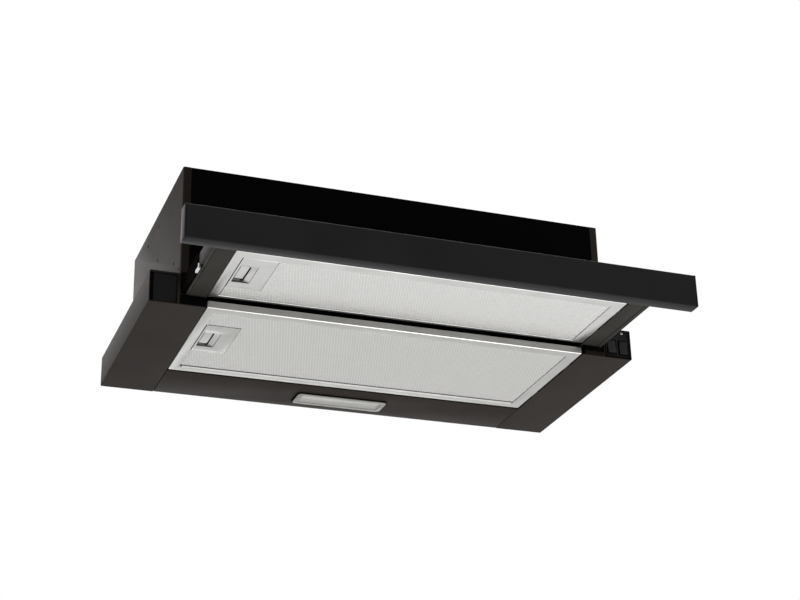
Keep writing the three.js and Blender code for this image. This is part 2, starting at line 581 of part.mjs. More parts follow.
function drawerFrame() {
  const flangeEdge = HALF_FILTER + DRAWER_FLANGE_CLEARANCE;
  const front = FACADE_REAR + GAP;
  const armEnd = DRAWER_PLATE_REAR + DRAWER_ARM;
  const section = foldedSheet([
    [-flangeEdge, DRAWER_BOTTOM], [-HALF_DRAWER, DRAWER_BOTTOM], [-HALF_DRAWER, DRAWER_TOP],
    [HALF_DRAWER, DRAWER_TOP], [HALF_DRAWER, DRAWER_BOTTOM], [flangeEdge, DRAWER_BOTTOM],
  ].reverse(), SHEET);
  const duct = prism('y', section, front, armEnd);
  const frontWall = block([-HALF_DRAWER + SHEET / 2, HALF_DRAWER - SHEET / 2], [front, front + SHEET],
    [DRAWER_BOTTOM, DRAWER_TOP - SHEET / 2]);
  const frontFlange = block([-flangeEdge - SHEET, flangeEdge + SHEET],
    [front, DRAWER_FILTER_FRONT - DRAWER_FLANGE_CLEARANCE], [DRAWER_BOTTOM, DRAWER_BOTTOM + SHEET]);
  const armInside = HALF_DRAWER - DRAWER_ARM_FLANGE;
  const rearCut = block([-armInside, armInside], [DRAWER_PLATE_REAR, armEnd + OVERSHOOT],
    [DRAWER_BOTTOM - OVERSHOOT, DRAWER_TOP + OVERSHOOT]);
  return piece('drawer_frame', SATIN_BLACK, cut(join(duct, frontWall, frontFlange), rearCut));
}

function facade() {
  const top = FACADE_BOTTOM + FACADE_HEIGHT;
  const front = FACADE_REAR - FACADE_DEPTH;
  const halfWidth = HALF_HOOD - FACADE_CAP - GAP;
  const section = foldedSheet([
    [FACADE_REAR, FACADE_BOTTOM + FACADE_BOTTOM_LIP], [FACADE_REAR, FACADE_BOTTOM],
    [front, FACADE_BOTTOM], [front, top], [FACADE_REAR, top], [FACADE_REAR, top - FACADE_TOP_LIP],
  ].reverse(), FACADE_WALL);
  return piece('facade', FACADE_BLACK, prism('x', section, -halfWidth, halfWidth));
}

// An end cap: a plate over the bar's end, with a plug that fills its section. Left-hand.
function facadeCapGeometry() {
  const front = FACADE_REAR - FACADE_DEPTH;
  const top = FACADE_BOTTOM + FACADE_HEIGHT;
  const plate = block([-HALF_HOOD, -HALF_HOOD + FACADE_CAP], [front, FACADE_REAR], [FACADE_BOTTOM, top]);
  const fit = FACADE_WALL + GAP;
  const plugEnd = -HALF_HOOD + FACADE_CAP + FACADE_CAP_PLUG;
  const plug = block([-HALF_HOOD + FACADE_CAP / 2, plugEnd],
    inset([front, FACADE_REAR], fit), inset([FACADE_BOTTOM, top], fit));
  const hollow = block([-HALF_HOOD + FACADE_CAP, plugEnd + OVERSHOOT],
    inset([front, FACADE_REAR], 2 * fit), inset([FACADE_BOTTOM, top], 2 * fit));
  return cut(join(plate, plug), hollow);
}

// ---- Telescopic slides --------------------------------------------------------------------

const SLIDE_X = [-HALF_BODY + SHEET + GAP, -HALF_DRAWER - GAP];
const SLIDE_Z = (DRAWER_BOTTOM + DRAWER_TOP) / 2 + 1;

// A C-section member: its web at one side and flanges towards the other. Left-hand.
function slideMember(web, reach, height, holeInset) {
  const half = height / 2;
  const path = [[reach, -half], [web, -half], [web, half], [reach, half]];
  if (web < reach) {
    path.reverse();
  }
  const member = prism('y', foldedSheet(path, SLIDE_STEEL), 0, SLIDE_LENGTH);
  const [low, high] = ordered(web, reach);
  const holes = inset([0, SLIDE_LENGTH], holeInset).map((y) => rod('x', FIXING_HOLE_RADIUS,
    low - OVERSHOOT, high + OVERSHOOT, [y, 0], 8));
  return cut(member, holes);
}

function slides() {
  const [wallSide, drawerSide] = SLIDE_X;
  const nesting = SLIDE_STEEL + BALL_GAP;
  const middleWeb = wallSide + nesting;
  const outer = slideMember(wallSide, drawerSide - nesting, SLIDE_HEIGHT, SLIDE_SCREW_INSET);
  const middle = slideMember(middleWeb, drawerSide - nesting, SLIDE_HEIGHT - 2 * nesting, SLIDE_STOP_INSET);
  const inner = slideMember(drawerSide, middleWeb + nesting, SLIDE_HEIGHT - 4 * nesting, SLIDE_SCREW_INSET);
  return ['left', 'right'].flatMap((side) => {
    const hand = (geometry) => (side === 'left' ? geometry.clone() : mirrored(geometry));
    return [
      piece(`${side}_slide_outer`, ZINC, hand(outer), [0, SLIDE_FRONT, SLIDE_Z]),
      piece(`${side}_slide_middle`, ZINC, hand(middle), [0, SLIDE_FRONT - DRAWER_TRAVEL / 2, SLIDE_Z]),
      piece(`${side}_slide_inner`, ZINC, hand(inner), [0, SLIDE_FRONT - DRAWER_TRAVEL, SLIDE_Z]),
    ];
  });
}

// ---- Lamp ---------------------------------------------------------------------------------

function lamp() {
  const [halfLength, halfWidth] = [LAMP_LENGTH / 2, LAMP_WIDTH / 2];
  const body = prism('z', roundedRectangle(halfLength, halfWidth, LAMP_CORNER), LAMP_RECESS, LAMP_HEIGHT);
  const flange = prism('z', roundedRectangle(halfLength + LAMP_FLANGE.length,
    halfWidth + LAMP_FLANGE.width, LAMP_CORNER), SHEET + GAP, SHEET + GAP + LAMP_FLANGE.thickness);
  const opening = (by) => roundedRectangle(halfLength - by, halfWidth - by, LAMP_CORNER / 2);
  const pocket = prism('z', opening(LAMP_RIM), 0, LAMP_HEIGHT - LAMP_BACK);
  const lensFront = LAMP_RECESS + LENS.recess;
  const lens = prism('z', opening(LAMP_RIM + GAP), lensFront, lensFront + LENS.thickness);
  const boardTop = LAMP_HEIGHT - LAMP_BACK - GAP;
  const boardHalf = halfLength - LAMP_RIM - LED_BOARD_CLEARANCE;
  const board = block([-boardHalf, boardHalf], [-LED_BOARD_WIDTH / 2, LED_BOARD_WIDTH / 2],
    [boardTop - LED_BOARD, boardTop]);
  const chipPitch = 2 * boardHalf / LED_COUNT;
  const chips = Array.from({ length: LED_COUNT }, (_, i) => {
    const centre = -boardHalf + chipPitch * (i + 0.5);
    return block([centre - LED_CHIP / 2, centre + LED_CHIP / 2], [-LED_CHIP / 2, LED_CHIP / 2],
      [boardTop - LED_BOARD - 1, boardTop - LED_BOARD / 2]);
  });
  return group([
    piece('lamp_frame', WHITE_PLASTIC, cut(join(body, flange), pocket)),
    piece('lamp_lens', LENS_PLASTIC, lens),
    piece('led_board', GREEN_BOARD, join(board, chips)),
  ], [LAMP_X, LAMP_Y, 0]);
}

function lampDriver() {
  const [length, width, height] = DRIVER_BOX;
  const { reach, thickness, hole } = DRIVER_EAR;
  const box = block([-length / 2, length / 2], [-width / 2, width / 2], [0, height]);
  const ears = block([-length / 2 - reach, length / 2 + reach], [-width / 4, width / 4], [0, thickness]);
  const holes = [-1, 1].map((side) => rod('z', hole, -OVERSHOOT, thickness + OVERSHOOT,
    [side * (length + reach) / 2, 0], 8));
  return piece('lamp_driver', BLACK_PLASTIC, cut(join(box, ears), holes), [...DRIVER_CENTRE, SHEET + GAP]);
}

// ---- Outlet collar and non-return flaps ---------------------------------------------------

// Where each flap's barrels sit along the pin.
const KNUCKLES = { front: [[-50, -32], [12, 30]], rear: [[-30, -12], [32, 50]] };

// Half discs hinged on one pin across the collar. hand is -1 for the front flap and 1 for the
// rear one.
function flapGeometry(knuckles, others, hand) {
  const bore = FLAP_PIN_RADIUS + GAP;
  const barrelRadius = bore + FLAP_BARREL_WALL;
  const radius = OUTLET_INNER - FLAP_RIM_GAP;
  const side = (from, to) => ordered(hand * from, hand * to);
  const seatTop = -FLAP_PIN_HEIGHT + OUTLET_PLATE + FLAP_SEAT + 2 * GAP;
  const disc = rod('z', radius, seatTop, seatTop + FLAP_THICKNESS, [0, 0], 48);
  const plate = keep(disc, block([-radius, radius], side(FLAP_SPLIT, radius + OVERSHOOT),
    [seatTop - OVERSHOOT, seatTop + FLAP_THICKNESS + OVERSHOOT]));
  const barrels = knuckles.flatMap(([from, to]) => [
    rod('x', barrelRadius, from, to, [0, 0], 16),
    block([from, to], side(FLAP_SPLIT, barrelRadius), [seatTop, 0]),
  ]);
  const reliefs = others.map(([from, to]) => block([from - KNUCKLE_GAP, to + KNUCKLE_GAP],
    [-barrelRadius - KNUCKLE_GAP, barrelRadius + KNUCKLE_GAP], [seatTop - OVERSHOOT, barrelRadius]));
  const pinWay = rod('x', bore, -radius - OVERSHOOT, radius + OVERSHOOT, [0, 0], 16);
  return cut(join(plate, barrels), reliefs, pinWay);
}

function outlet() {
  const base = GAP;
  const pinHeight = FLAP_PIN_HEIGHT;
  const flange = ring('z', OUTLET_OUTER + OUTLET_FLANGE, OUTLET_INNER, base, base + OUTLET_PLATE);
  const spigot = ring('z', OUTLET_OUTER, OUTLET_INNER, base, OUTLET_HEIGHT);
  const seat = ring('z', OUTLET_INNER + OUTLET_WALL / 2, OUTLET_INNER - FLAP_SEAT, base,
    OUTLET_PLATE + FLAP_SEAT);
  const pinEnd = OUTLET_OUTER;
  const pinHole = rod('x', FLAP_PIN_RADIUS + GAP, -pinEnd - OVERSHOOT, pinEnd + OVERSHOOT,
    [0, pinHeight], 12);
  return group([
    piece('outlet_collar', BLACK_PLASTIC, cut(join(flange, spigot, seat), pinHole)),
    piece('flap_pin', ZINC, rod('x', FLAP_PIN_RADIUS, -pinEnd, pinEnd, [0, 0], 12), [0, 0, pinHeight]),
    piece('front_flap', BLACK_PLASTIC, flapGeometry(KNUCKLES.front, KNUCKLES.rear, -1), [0, 0, pinHeight]),
    piece('rear_flap', BLACK_PLASTIC, flapGeometry(KNUCKLES.rear, KNUCKLES.front, 1), [0, 0, pinHeight]),
  ], [0, OUTLET_Y, BODY_TOP]);
}

// ---- Blower, drawn about its axle ---------------------------------------------------------

const THROAT_TOP = CEILING - GAP - AXLE_Z;
const TONGUE_ANGLE = 140;      // where the spiral starts, in degrees above the rear

function scrollRadius(degrees) {
  const share = (degrees - TONGUE_ANGLE) / (360 - TONGUE_ANGLE);
  return THREE.MathUtils.lerp(SCROLL_START_RADIUS, SCROLL_END_RADIUS, share);
}

// The scroll's side view as (y, z): it widens from the tongue at the front, round underneath,
// to the rear, and rises straight into the throat. inward sets the whole outline in.
function scrollOutline(inward, top) {
  const steps = 22;
  const spiral = Array.from({ length: steps + 1 }, (_, i) => {
    const degrees = THREE.MathUtils.lerp(TONGUE_ANGLE, 360, i / steps);
    const [point] = arc(scrollRadius(degrees) - inward, degrees, degrees, 1);
    return point;
  });
  const rearTop = new THREE.Vector2(SCROLL_END_RADIUS - inward, top);
  const frontTop = new THREE.Vector2(spiral[0].x, top);
  return [...spiral, rearTop, frontTop];
}

// The half of the housing on the +X side.
function scrollHalf() {
  const outer = prism('x', scrollOutline(-SCROLL_WALL, THROAT_TOP), GAP / 2, SCROLL_HALF_WIDTH);
  const inner = prism('x', scrollOutline(0, THROAT_TOP + OVERSHOOT), -OVERSHOOT,
    SCROLL_HALF_WIDTH - SCROLL_WALL);
  const inlet = rod('x', INLET_RADIUS, 0, SCROLL_HALF_WIDTH + 2 * OVERSHOOT, [0, 0], 32);
  const bell = ring('x', INLET_RADIUS + INLET_BELL.thickness, INLET_RADIUS,
    SCROLL_HALF_WIDTH - SCROLL_WALL / 2, SCROLL_HALF_WIDTH + INLET_BELL.reach, [0, 0], 32);
  const bosses = SCROLL_BOSS.angles.map((degrees) => {
    const radius = scrollRadius(degrees) + SCROLL_WALL + SCROLL_BOSS.offset;
    const [centre] = arc(radius, degrees, degrees, 1);
    return rod('x', SCROLL_BOSS.radius, GAP / 2, SCROLL_BOSS.length, [centre.x, centre.y], 10);
  });
  const flare = SCROLL_WALL + SCROLL_LIP.reach;
  const lipY = [scrollOutline(0, 0)[0].x - flare, SCROLL_END_RADIUS + flare];
  const lip = block([GAP / 2, SCROLL_HALF_WIDTH + SCROLL_LIP.reach], lipY,
    [THROAT_TOP - SCROLL_LIP.thickness, THROAT_TOP]);
  const hollowed = cut(join(outer, lip, bosses), inner, inlet);
  return join(hollowed, bell);
}

function impeller() {
  const half = IMPELLER_WIDTH / 2;
  const inner = IMPELLER_RADIUS - BLADE_DEPTH;
  const lean = THREE.MathUtils.degToRad(BLADE_LEAN);
  const edge = (sideShift) => Array.from({ length: BLADE_STEPS + 1 }, (_, i) => {
    const share = i / BLADE_STEPS;
    const radius = inner + (BLADE_DEPTH - SHAFT_FREE) * share;
    const angle = lean * share * share + sideShift / radius;
    return new THREE.Vector2(radius * Math.cos(angle), radius * Math.sin(angle));
  });
  const profile = [...edge(-BLADE_THICKNESS / 2), ...edge(BLADE_THICKNESS / 2).reverse()];
  const axis = new THREE.Vector2();
  const blades = Array.from({ length: BLADE_COUNT }, (_, i) => {
    const angle = 2 * Math.PI * i / BLADE_COUNT;
    const outline = profile.map((point) => point.clone().rotateAround(axis, angle));
    return prism('x', outline, -half + SHEET, half - SHEET);
  });
  const rings = [-1, 1].map((side) => ring('x', IMPELLER_RADIUS, IMPELLER_RADIUS - IMPELLER_RING,
    ...ordered(side * half, side * (half - IMPELLER_RING)), [0, 0], 32));
  const disc = rod('x', IMPELLER_RADIUS - SHEET, -SHEET, SHEET, [0, 0], 32);
  const hub = rod('x', HUB.radius, -HUB.length / 2, HUB.length / 2, [0, 0], 16);
  const bore = rod('x', SHAFT_RADIUS + SHAFT_FREE, -half, half, [0, 0], 16);
  return cut(join(disc, hub, rings, blades), bore);
}

function motorGeometry(front) {
  const bore = SHAFT_RADIUS + SHAFT_FREE;
  const wayEnd = front + MOTOR_SHAFT_WAY;
  const nose = front - MOTOR_NOSE.length;
  const rear = front + MOTOR_LENGTH;
  const tail = rear + MOTOR_TAIL.length;
  const shoulder = MOTOR_RADIUS - MOTOR_CHAMFER;
  const profile = [
    [0, wayEnd], [bore, wayEnd], [bore, nose], [MOTOR_NOSE.radius, nose], [MOTOR_NOSE.radius, front],
    [shoulder, front], [MOTOR_RADIUS, front + MOTOR_CHAMFER], [MOTOR_RADIUS, rear - MOTOR_CHAMFER],
    [shoulder, rear], [MOTOR_TAIL.radius, rear], [MOTOR_TAIL.radius, tail], [0, tail],
  ].map(([radius, along]) => new THREE.Vector2(radius, along));
  return new THREE.LatheGeometry(profile, 24).rotateZ(-Math.PI / 2);
}

// A spider that carries the motor on the housing's side plate: a hub ring and three arms.
function motorBracketGeometry(plateFace, motorFace) {
  const { reach, armWidth } = BRACKET;
  const [from, to] = [motorFace - GAP - BRACKET.thickness, motorFace - GAP];
  const hub = rod('x', BRACKET.hub, from, to, [0, 0], 24);
  const arms = BRACKET.angles.flatMap((degrees) => {
    const [foot] = arc(reach, degrees, degrees, 1);
    const bar = block([from, to], [0, reach], [-armWidth / 2, armWidth / 2]);
    return [
      bar.rotateX(THREE.MathUtils.degToRad(degrees)),
      rod('x', BRACKET.foot, plateFace + GAP, to, [foot.x, foot.y], 12),
    ];
  });
  const bore = rod('x', MOTOR_NOSE.radius + GAP, from - OVERSHOOT, to + OVERSHOOT, [0, 0], 24);
  return cut(join(hub, arms), bore);
}

function blower() {
  const half = scrollHalf();
  const motorFace = SCROLL_HALF_WIDTH + MOTOR_STANDOFF;
  const shaftEnd = motorFace + MOTOR_SHAFT_WAY - MOTOR_CHAMFER;
  return group([
    piece('scroll_right', BLACK_PLASTIC, half),
    piece('scroll_left', BLACK_PLASTIC, mirrored(half)),
    piece('impeller', GREY_PLASTIC, impeller()),
    piece('motor_shaft', ZINC, rod('x', SHAFT_RADIUS, SHAFT_START, shaftEnd, [0, 0], 16)),
    piece('motor', ZINC, motorGeometry(motorFace)),
    piece('motor_bracket', ZINC, motorBracketGeometry(SCROLL_HALF_WIDTH, motorFace)),
  ], [0, AXLE_Y, AXLE_Z]);
}

// ---- Electrical pieces under the top panel ------------------------------------------------

function capacitor() {
  const half = CAPACITOR_LENGTH / 2;
  const drop = CAPACITOR_RADIUS + CAPACITOR_CLIP.drop;
  const can = join(rod('y', CAPACITOR_RADIUS, -half, half),
    rod('y', CAPACITOR_STUD.radius, -half - CAPACITOR_STUD.length, half, [0, 0], 12));
  const clipRadius = CAPACITOR_RADIUS + GAP;
  const clipY = [-CAPACITOR_CLIP.width / 2, CAPACITOR_CLIP.width / 2];
  const strap = ring('y', clipRadius + SHEET, clipRadius, ...clipY, [0, 0], 24);
  const foot = block([-SHEET, CAPACITOR_CLIP.foot], clipY, [drop - GAP - SHEET, drop - GAP]);
  const leg = block([-SHEET, SHEET], clipY, [clipRadius + SHEET / 2, drop - GAP]);
  return group([
    piece('capacitor', WHITE_PLASTIC, can),
    piece('capacitor_clip', ZINC, join(strap, leg, foot)),
  ], [CAPACITOR_X, AXLE_Y, CEILING - drop]);
}

function terminalBox() {
  const [length, width, height] = TERMINAL_BOX;
  const wall = TERMINAL_WALL;
  const outline = (by) => [[-length / 2, length / 2], [-width / 2, width / 2]].map((span) => inset(span, by));
  const shell = block(...outline(0), [-height, -GAP]);
  const hollow = block(...outline(wall), [-height - OVERSHOOT, -wall - GAP]);
  const stemWay = rod('z', GLAND_STEM_RADIUS + GAP, -height, 0, [0, 0], 16);
  const lidTop = -height - GAP;
  const lidPlate = block(...outline(0), [lidTop - wall, lidTop]);
  const lidPlug = block(...outline(wall + GAP), [lidTop - wall / 2, lidTop + TERMINAL_PLUG]);
  const lidHollow = block(...outline(2 * wall + GAP), [lidTop, lidTop + TERMINAL_PLUG + OVERSHOOT]);
  const roof = SHEET + GAP;
  const inner = -wall - 2 * GAP;
  const gland = join(
    rod('z', GLAND_STEM_RADIUS, -GLAND.below, roof + GLAND.above, [0, 0], 16),
    rod('z', GLAND.nut, roof, roof + GLAND.nutHeight, [0, 0], 6),
    rod('z', GLAND.nut, inner - GLAND.nutBelow, inner, [0, 0], 6),
  );
  const bore = rod('z', GLAND_BORE_RADIUS, -GLAND.below - OVERSHOOT, roof + GLAND.above + OVERSHOOT,
    [0, 0], 16);
  return group([
    piece('terminal_box', BLACK_PLASTIC, cut(shell, hollow, stemWay)),
    piece('terminal_lid', BLACK_PLASTIC, cut(join(lidPlate, lidPlug), lidHollow)),
    piece('cable_gland', BLACK_PLASTIC, cut(gland, bore)),
  ], [...TERMINAL_CENTRE, CEILING]);
}

// ---- The hood -----------------------------------------------------------------------------

const wing = wingGeometry();
const facadeCap = facadeCapGeometry();

const body = group([
  upperShell(),
  frontPanel(),
  topPanel(),
  piece('left_wing', SATIN_BLACK, wing),
  piece('right_wing', SATIN_BLACK, mirrored(wing)),
  rearStrip(),
  leftWingCap(),
  switchHousing(),
  ...rockers(),
  lamp(),
  lampDriver(),
  outlet(),
  blower(),
  capacitor(),
  terminalBox(),
]);

const drawer = group([
  drawerFrame(),
  facade(),
  piece('facade_cap_left', FACADE_BLACK, facadeCap),
  piece('facade_cap_right', FACADE_BLACK, mirrored(facadeCap)),
  greaseFilter('drawer_filter', DRAWER_FILTER_DEPTH, CUP_FROM_FRONT_DRAWER,
    [0, DRAWER_FILTER_FRONT, DRAWER_BOTTOM]),
]);

const fixedFilter = greaseFilter('fixed_filter', FIXED_FILTER_DEPTH, CUP_FROM_FRONT_FIXED,
  [0, FIXED_FILTER_FRONT, 0]);

const hood = group([body, drawer, fixedFilter, ...slides()], [0, 0, -WING_HEIGHT]);

export default hood;
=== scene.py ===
"""Looks of a pull out range hood for a 60 cm wall cabinet.

Lengths are written in millimetres above the hood's underside, as on its drawing, and place() and mm()
turn them into the frame's metres.
"""

import logging
import math
from contextlib import contextmanager
from dataclasses import dataclass
from enum import Enum
from typing import Callable, Iterator, Optional, Sequence, TypeAlias

import bmesh
import bpy
from mathutils import Matrix, Vector


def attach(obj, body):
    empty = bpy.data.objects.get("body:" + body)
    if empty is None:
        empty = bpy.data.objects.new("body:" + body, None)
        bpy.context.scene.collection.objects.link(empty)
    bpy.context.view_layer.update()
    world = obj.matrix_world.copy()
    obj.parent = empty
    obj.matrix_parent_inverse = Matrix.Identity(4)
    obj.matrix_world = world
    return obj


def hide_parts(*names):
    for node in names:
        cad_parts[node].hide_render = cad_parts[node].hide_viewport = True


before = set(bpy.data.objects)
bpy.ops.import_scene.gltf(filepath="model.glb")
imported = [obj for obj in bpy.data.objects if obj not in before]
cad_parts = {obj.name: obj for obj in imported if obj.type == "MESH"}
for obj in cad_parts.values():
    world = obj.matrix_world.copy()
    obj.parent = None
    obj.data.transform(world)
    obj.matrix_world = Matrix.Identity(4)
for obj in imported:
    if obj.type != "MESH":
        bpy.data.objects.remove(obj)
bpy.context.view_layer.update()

log = logging.getLogger("hood")

Point: TypeAlias = tuple[float, float, float]
Span: TypeAlias = tuple[float, float]
Piece: TypeAlias = bpy.types.Object
Socket: TypeAlias = bpy.types.NodeSocket

UNDERSIDE = -38.6
SHEET = 1


def mm(length: float) -> float:
    """Turns millimetres into metres."""
    return length / 1000


def level(z: float) -> float:
    """Turns a height in millimetres over the underside into the frame's metres."""
    return mm(z + UNDERSIDE)


def place(x: float, y: float, z: float) -> Vector:
    """Turns a point in millimetres over the underside into the frame's metres."""
    return Vector((mm(x), mm(y), level(z)))


def beside(side: int, inner: float, outer: float) -> Span:
    """Returns the span between two distances from the middle, on the left (-1) or the right (1)."""
    low, high = sorted((side * inner, side * outer))
    return low, high


NEAR = mm(0.1)
WELD = 1e-6


# ---- Finishes -----------------------------------------------------------------------------------


NOISE_SPAN: Span = (0.3, 0.7)


class Recipe:
    """Lays out the nodes of one material round its principled shader."""

    def __init__(self, name: str) -> None:
        """Starts an empty recipe.

        Args:
            name: the material's name.
        """
        self.material = bpy.data.materials.new(name)
        self.material.use_nodes = True
        self.nodes = self.material.node_tree.nodes
        self.links = self.material.node_tree.links
        self.shader = self.nodes["Principled BSDF"]
        self.where = self.nodes.new("ShaderNodeTexCoord").outputs["Object"]

    def constant(self, **values: float) -> None:
        """Sets values that are the same all over, by socket name with underscores for spaces."""
        for name, value in values.items():
            self.shader.inputs[name.replace("_", " ")].default_value = value

    def feed(self, socket: str, source: Socket) -> None:
        """Links a source into one of the shader's sockets."""
        self.links.new(source, self.shader.inputs[socket])

    def mapped(self, stretch: Point) -> Socket:
        """Scales the piece's own coordinates along each axis and returns them."""
        node = self.nodes.new("ShaderNodeMapping")
        node.inputs["Scale"].default_value = stretch
        self.links.new(self.where, node.inputs["Vector"])
        return node.outputs["Vector"]

    def noise(self, scale: float, detail: float = 3, stretch: Point = (1, 1, 1)) -> Socket:
        """Adds noise over the piece's own coordinates.

        Args:
            scale: the noise's scale.
            detail: how fine its detail is.
            stretch: how much tighter it lies along each axis.

        Returns:
            The noise's value.
        """
        node = self.nodes.new("ShaderNodeTexNoise")
        node.inputs["Scale"].default_value = scale
        node.inputs["Detail"].default_value = detail
        self.links.new(self.mapped(stretch), node.inputs["Vector"])
        return node.outputs["Fac"]

    def cells(self, scale: float, stretch: Point = (1, 1, 1)) -> Socket:
        """Adds a cell pattern.

        Args:
            scale: the pattern's scale.
            stretch: how much tighter it lies along each axis.

        Returns:
            The distance from each cell's middle.
        """
        node = self.nodes.new("ShaderNodeTexVoronoi")
        node.inputs["Scale"].default_value = scale
        self.links.new(self.mapped(stretch), node.inputs["Vector"])
        return node.outputs["Distance"]

    def ribs(self, scale: float, axis: str) -> Socket:
        """Adds straight parallel ribs.

        Args:
            scale: how close they lie.
            axis: the axis that they lie across.

        Returns:
            Their height.
        """
        node = self.nodes.new("ShaderNodeTexWave")
        node.bands_direction = axis
        node.inputs["Scale"].default_value = scale
        self.links.new(self.where, node.inputs["Vector"])
        return node.outputs["Fac"]

    def height(self) -> Socket:
        """Returns the height coordinate of the piece, in metres."""
        node = self.nodes.new("ShaderNodeSeparateXYZ")
        self.links.new(self.where, node.inputs[0])
        return node.outputs["Z"]

    def distance(self, value: Socket, mark: float) -> Socket:
        """Measures how far a value is from a mark, to either side.

        Args:
            value: the value.
            mark: the mark.

        Returns:
            The distance.
        """
        for operation, other in (("SUBTRACT", mark), ("ABSOLUTE", 0)):
            node = self.nodes.new("ShaderNodeMath")
            node.operation = operation
            self.links.new(value, node.inputs[0])
            node.inputs[1].default_value = other
            value = node.outputs[0]
        return value

    def span(self, value: Socket, source: Span, target: Span) -> Socket:
        """Maps a value from one range to another.

        Args:
            value: the value.
            source: the range that it comes from.
            target: the range that it goes to.

        Returns:
            The mapped value.
        """
        node = self.nodes.new("ShaderNodeMapRange")
        node.inputs["From Min"].default_value, node.inputs["From Max"].default_value = source
        node.inputs["To Min"].default_value, node.inputs["To Max"].default_value = target
        self.links.new(value, node.inputs["Value"])
        return node.outputs["Result"]

    def ramp(self, value: Socket, *stops: tuple[float, Point]) -> Socket:
        """Turns a value into a colour.

        Args:
            value: the value that runs along the ramp.
            stops: position and colour of each stop, in order.

        Returns:
            The colour socket.
        """
        node = self.nodes.new("ShaderNodeValToRGB")
        elements = node.color_ramp.elements
        while len(elements) < len(stops):
            elements.new(0.5)
        for element, (position, colour) in zip(elements, stops):
            element.position = position
            element.color = (*colour, 1)
        self.links.new(value, node.inputs["Fac"])
        return node.outputs["Color"]

    def relief(self, height: Socket, strength: float, depth: float,
               under: Optional[Socket] = None) -> Socket:
        """Adds fine relief.

        Args:
            height: the pattern's height, from 0 to 1.
            strength: how strongly it shows.
            depth: real depth in millimetres.
            under: the relief that this one lies on.

        Returns:
            The normal socket.
        """
        node = self.nodes.new("ShaderNodeBump")
        node.inputs["Strength"].default_value = strength
        node.inputs["Distance"].default_value = mm(depth)
        self.links.new(height, node.inputs["Height"])
        if under:
            self.links.new(under, node.inputs["Normal"])
        return node.outputs["Normal"]

    def tone(self, pattern: Socket, colour: Point, spread: float) -> None:
        """Varies the base colour with a noise pattern, by a share of it to either side."""
        dark, light = shades(colour, spread)
        self.feed("Base Color", self.ramp(pattern, (NOISE_SPAN[0], dark), (NOISE_SPAN[1], light)))

    def gloss(self, pattern: Socket, low: float, high: float,
              source: Span = NOISE_SPAN) -> None:
        """Varies the roughness with a pattern.

        Args:
            pattern: the pattern's value.
            low: the roughness where the pattern is low.
            high: the roughness where it is high.
            source: the pattern's low and high values.
        """
        self.feed("Roughness", self.span(pattern, source, (low, high)))


def shades(colour: Point, spread: float) -> tuple[Point, Point]:
    """Returns a darker and a lighter shade of a colour, spread apart by a share of it."""
    dark = tuple(value * (1 - spread) for value in colour)
    light = tuple(value * (1 + spread) for value in colour)
    return dark, light


@dataclass(frozen=True)
class Lacquer:
    """Stoved paint on sheet steel, from satin powder coat to high gloss."""

    name: str
    slot: str
    colour: Point
    roughness: float
    specular: float
    peel: float
    grain: float = 900

    def make(self) -> bpy.types.Material:
        """Returns the material: a faint cloudy tone, orange peel and a fine powder grain."""
        recipe = Recipe(self.name)
        recipe.tone(recipe.noise(14, 4), self.colour, 0.14)
        sheen = recipe.noise(self.grain, 2)
        recipe.gloss(sheen, self.roughness * 0.88, self.roughness * 1.12)
        peel = recipe.relief(recipe.noise(320, 2), self.peel, 0.05)
        recipe.feed("Normal", recipe.relief(sheen, self.peel, 0.02, peel))
        recipe.constant(Specular_IOR_Level=self.specular)
        return recipe.material


@dataclass(frozen=True)
class Moulding:
    """Moulded plastic with a spark-eroded grain."""

    name: str
    slot: str
    colour: Point
    roughness: float
    specular: float = 0.4
    grain: float = 1400

    def make(self) -> bpy.types.Material:
        """Returns the material: an even tone under a fine pebbled grain."""
        recipe = Recipe(self.name)
        recipe.tone(recipe.noise(30, 3), self.colour, 0.08)
        pebble = recipe.cells(self.grain)
        recipe.gloss(pebble, self.roughness * 1.1, self.roughness * 0.9, (0, 0.6))
        recipe.feed("Normal", recipe.relief(pebble, 0.25, 0.03))
        recipe.constant(Specular_IOR_Level=self.specular)
        return recipe.material


@dataclass(frozen=True)
class RolledMetal:
    """Bare rolled or brushed metal, with streaks along one axis."""

    name: str
    slot: str
    colour: Point
    roughness: float
    streaks: Point
    metallic: float = 1

    def make(self) -> bpy.types.Material:
        """Returns the material: long rolling streaks in tone, gloss and relief."""
        recipe = Recipe(self.name)
        recipe.tone(recipe.noise(22, 3), self.colour, 0.07)
        streak = recipe.noise(1, 4, self.streaks)
        recipe.gloss(streak, self.roughness * 0.8, self.roughness * 1.2)
        recipe.feed("Normal", recipe.relief(streak, 0.12, 0.02))
        recipe.constant(Metallic=self.metallic)
        return recipe.material


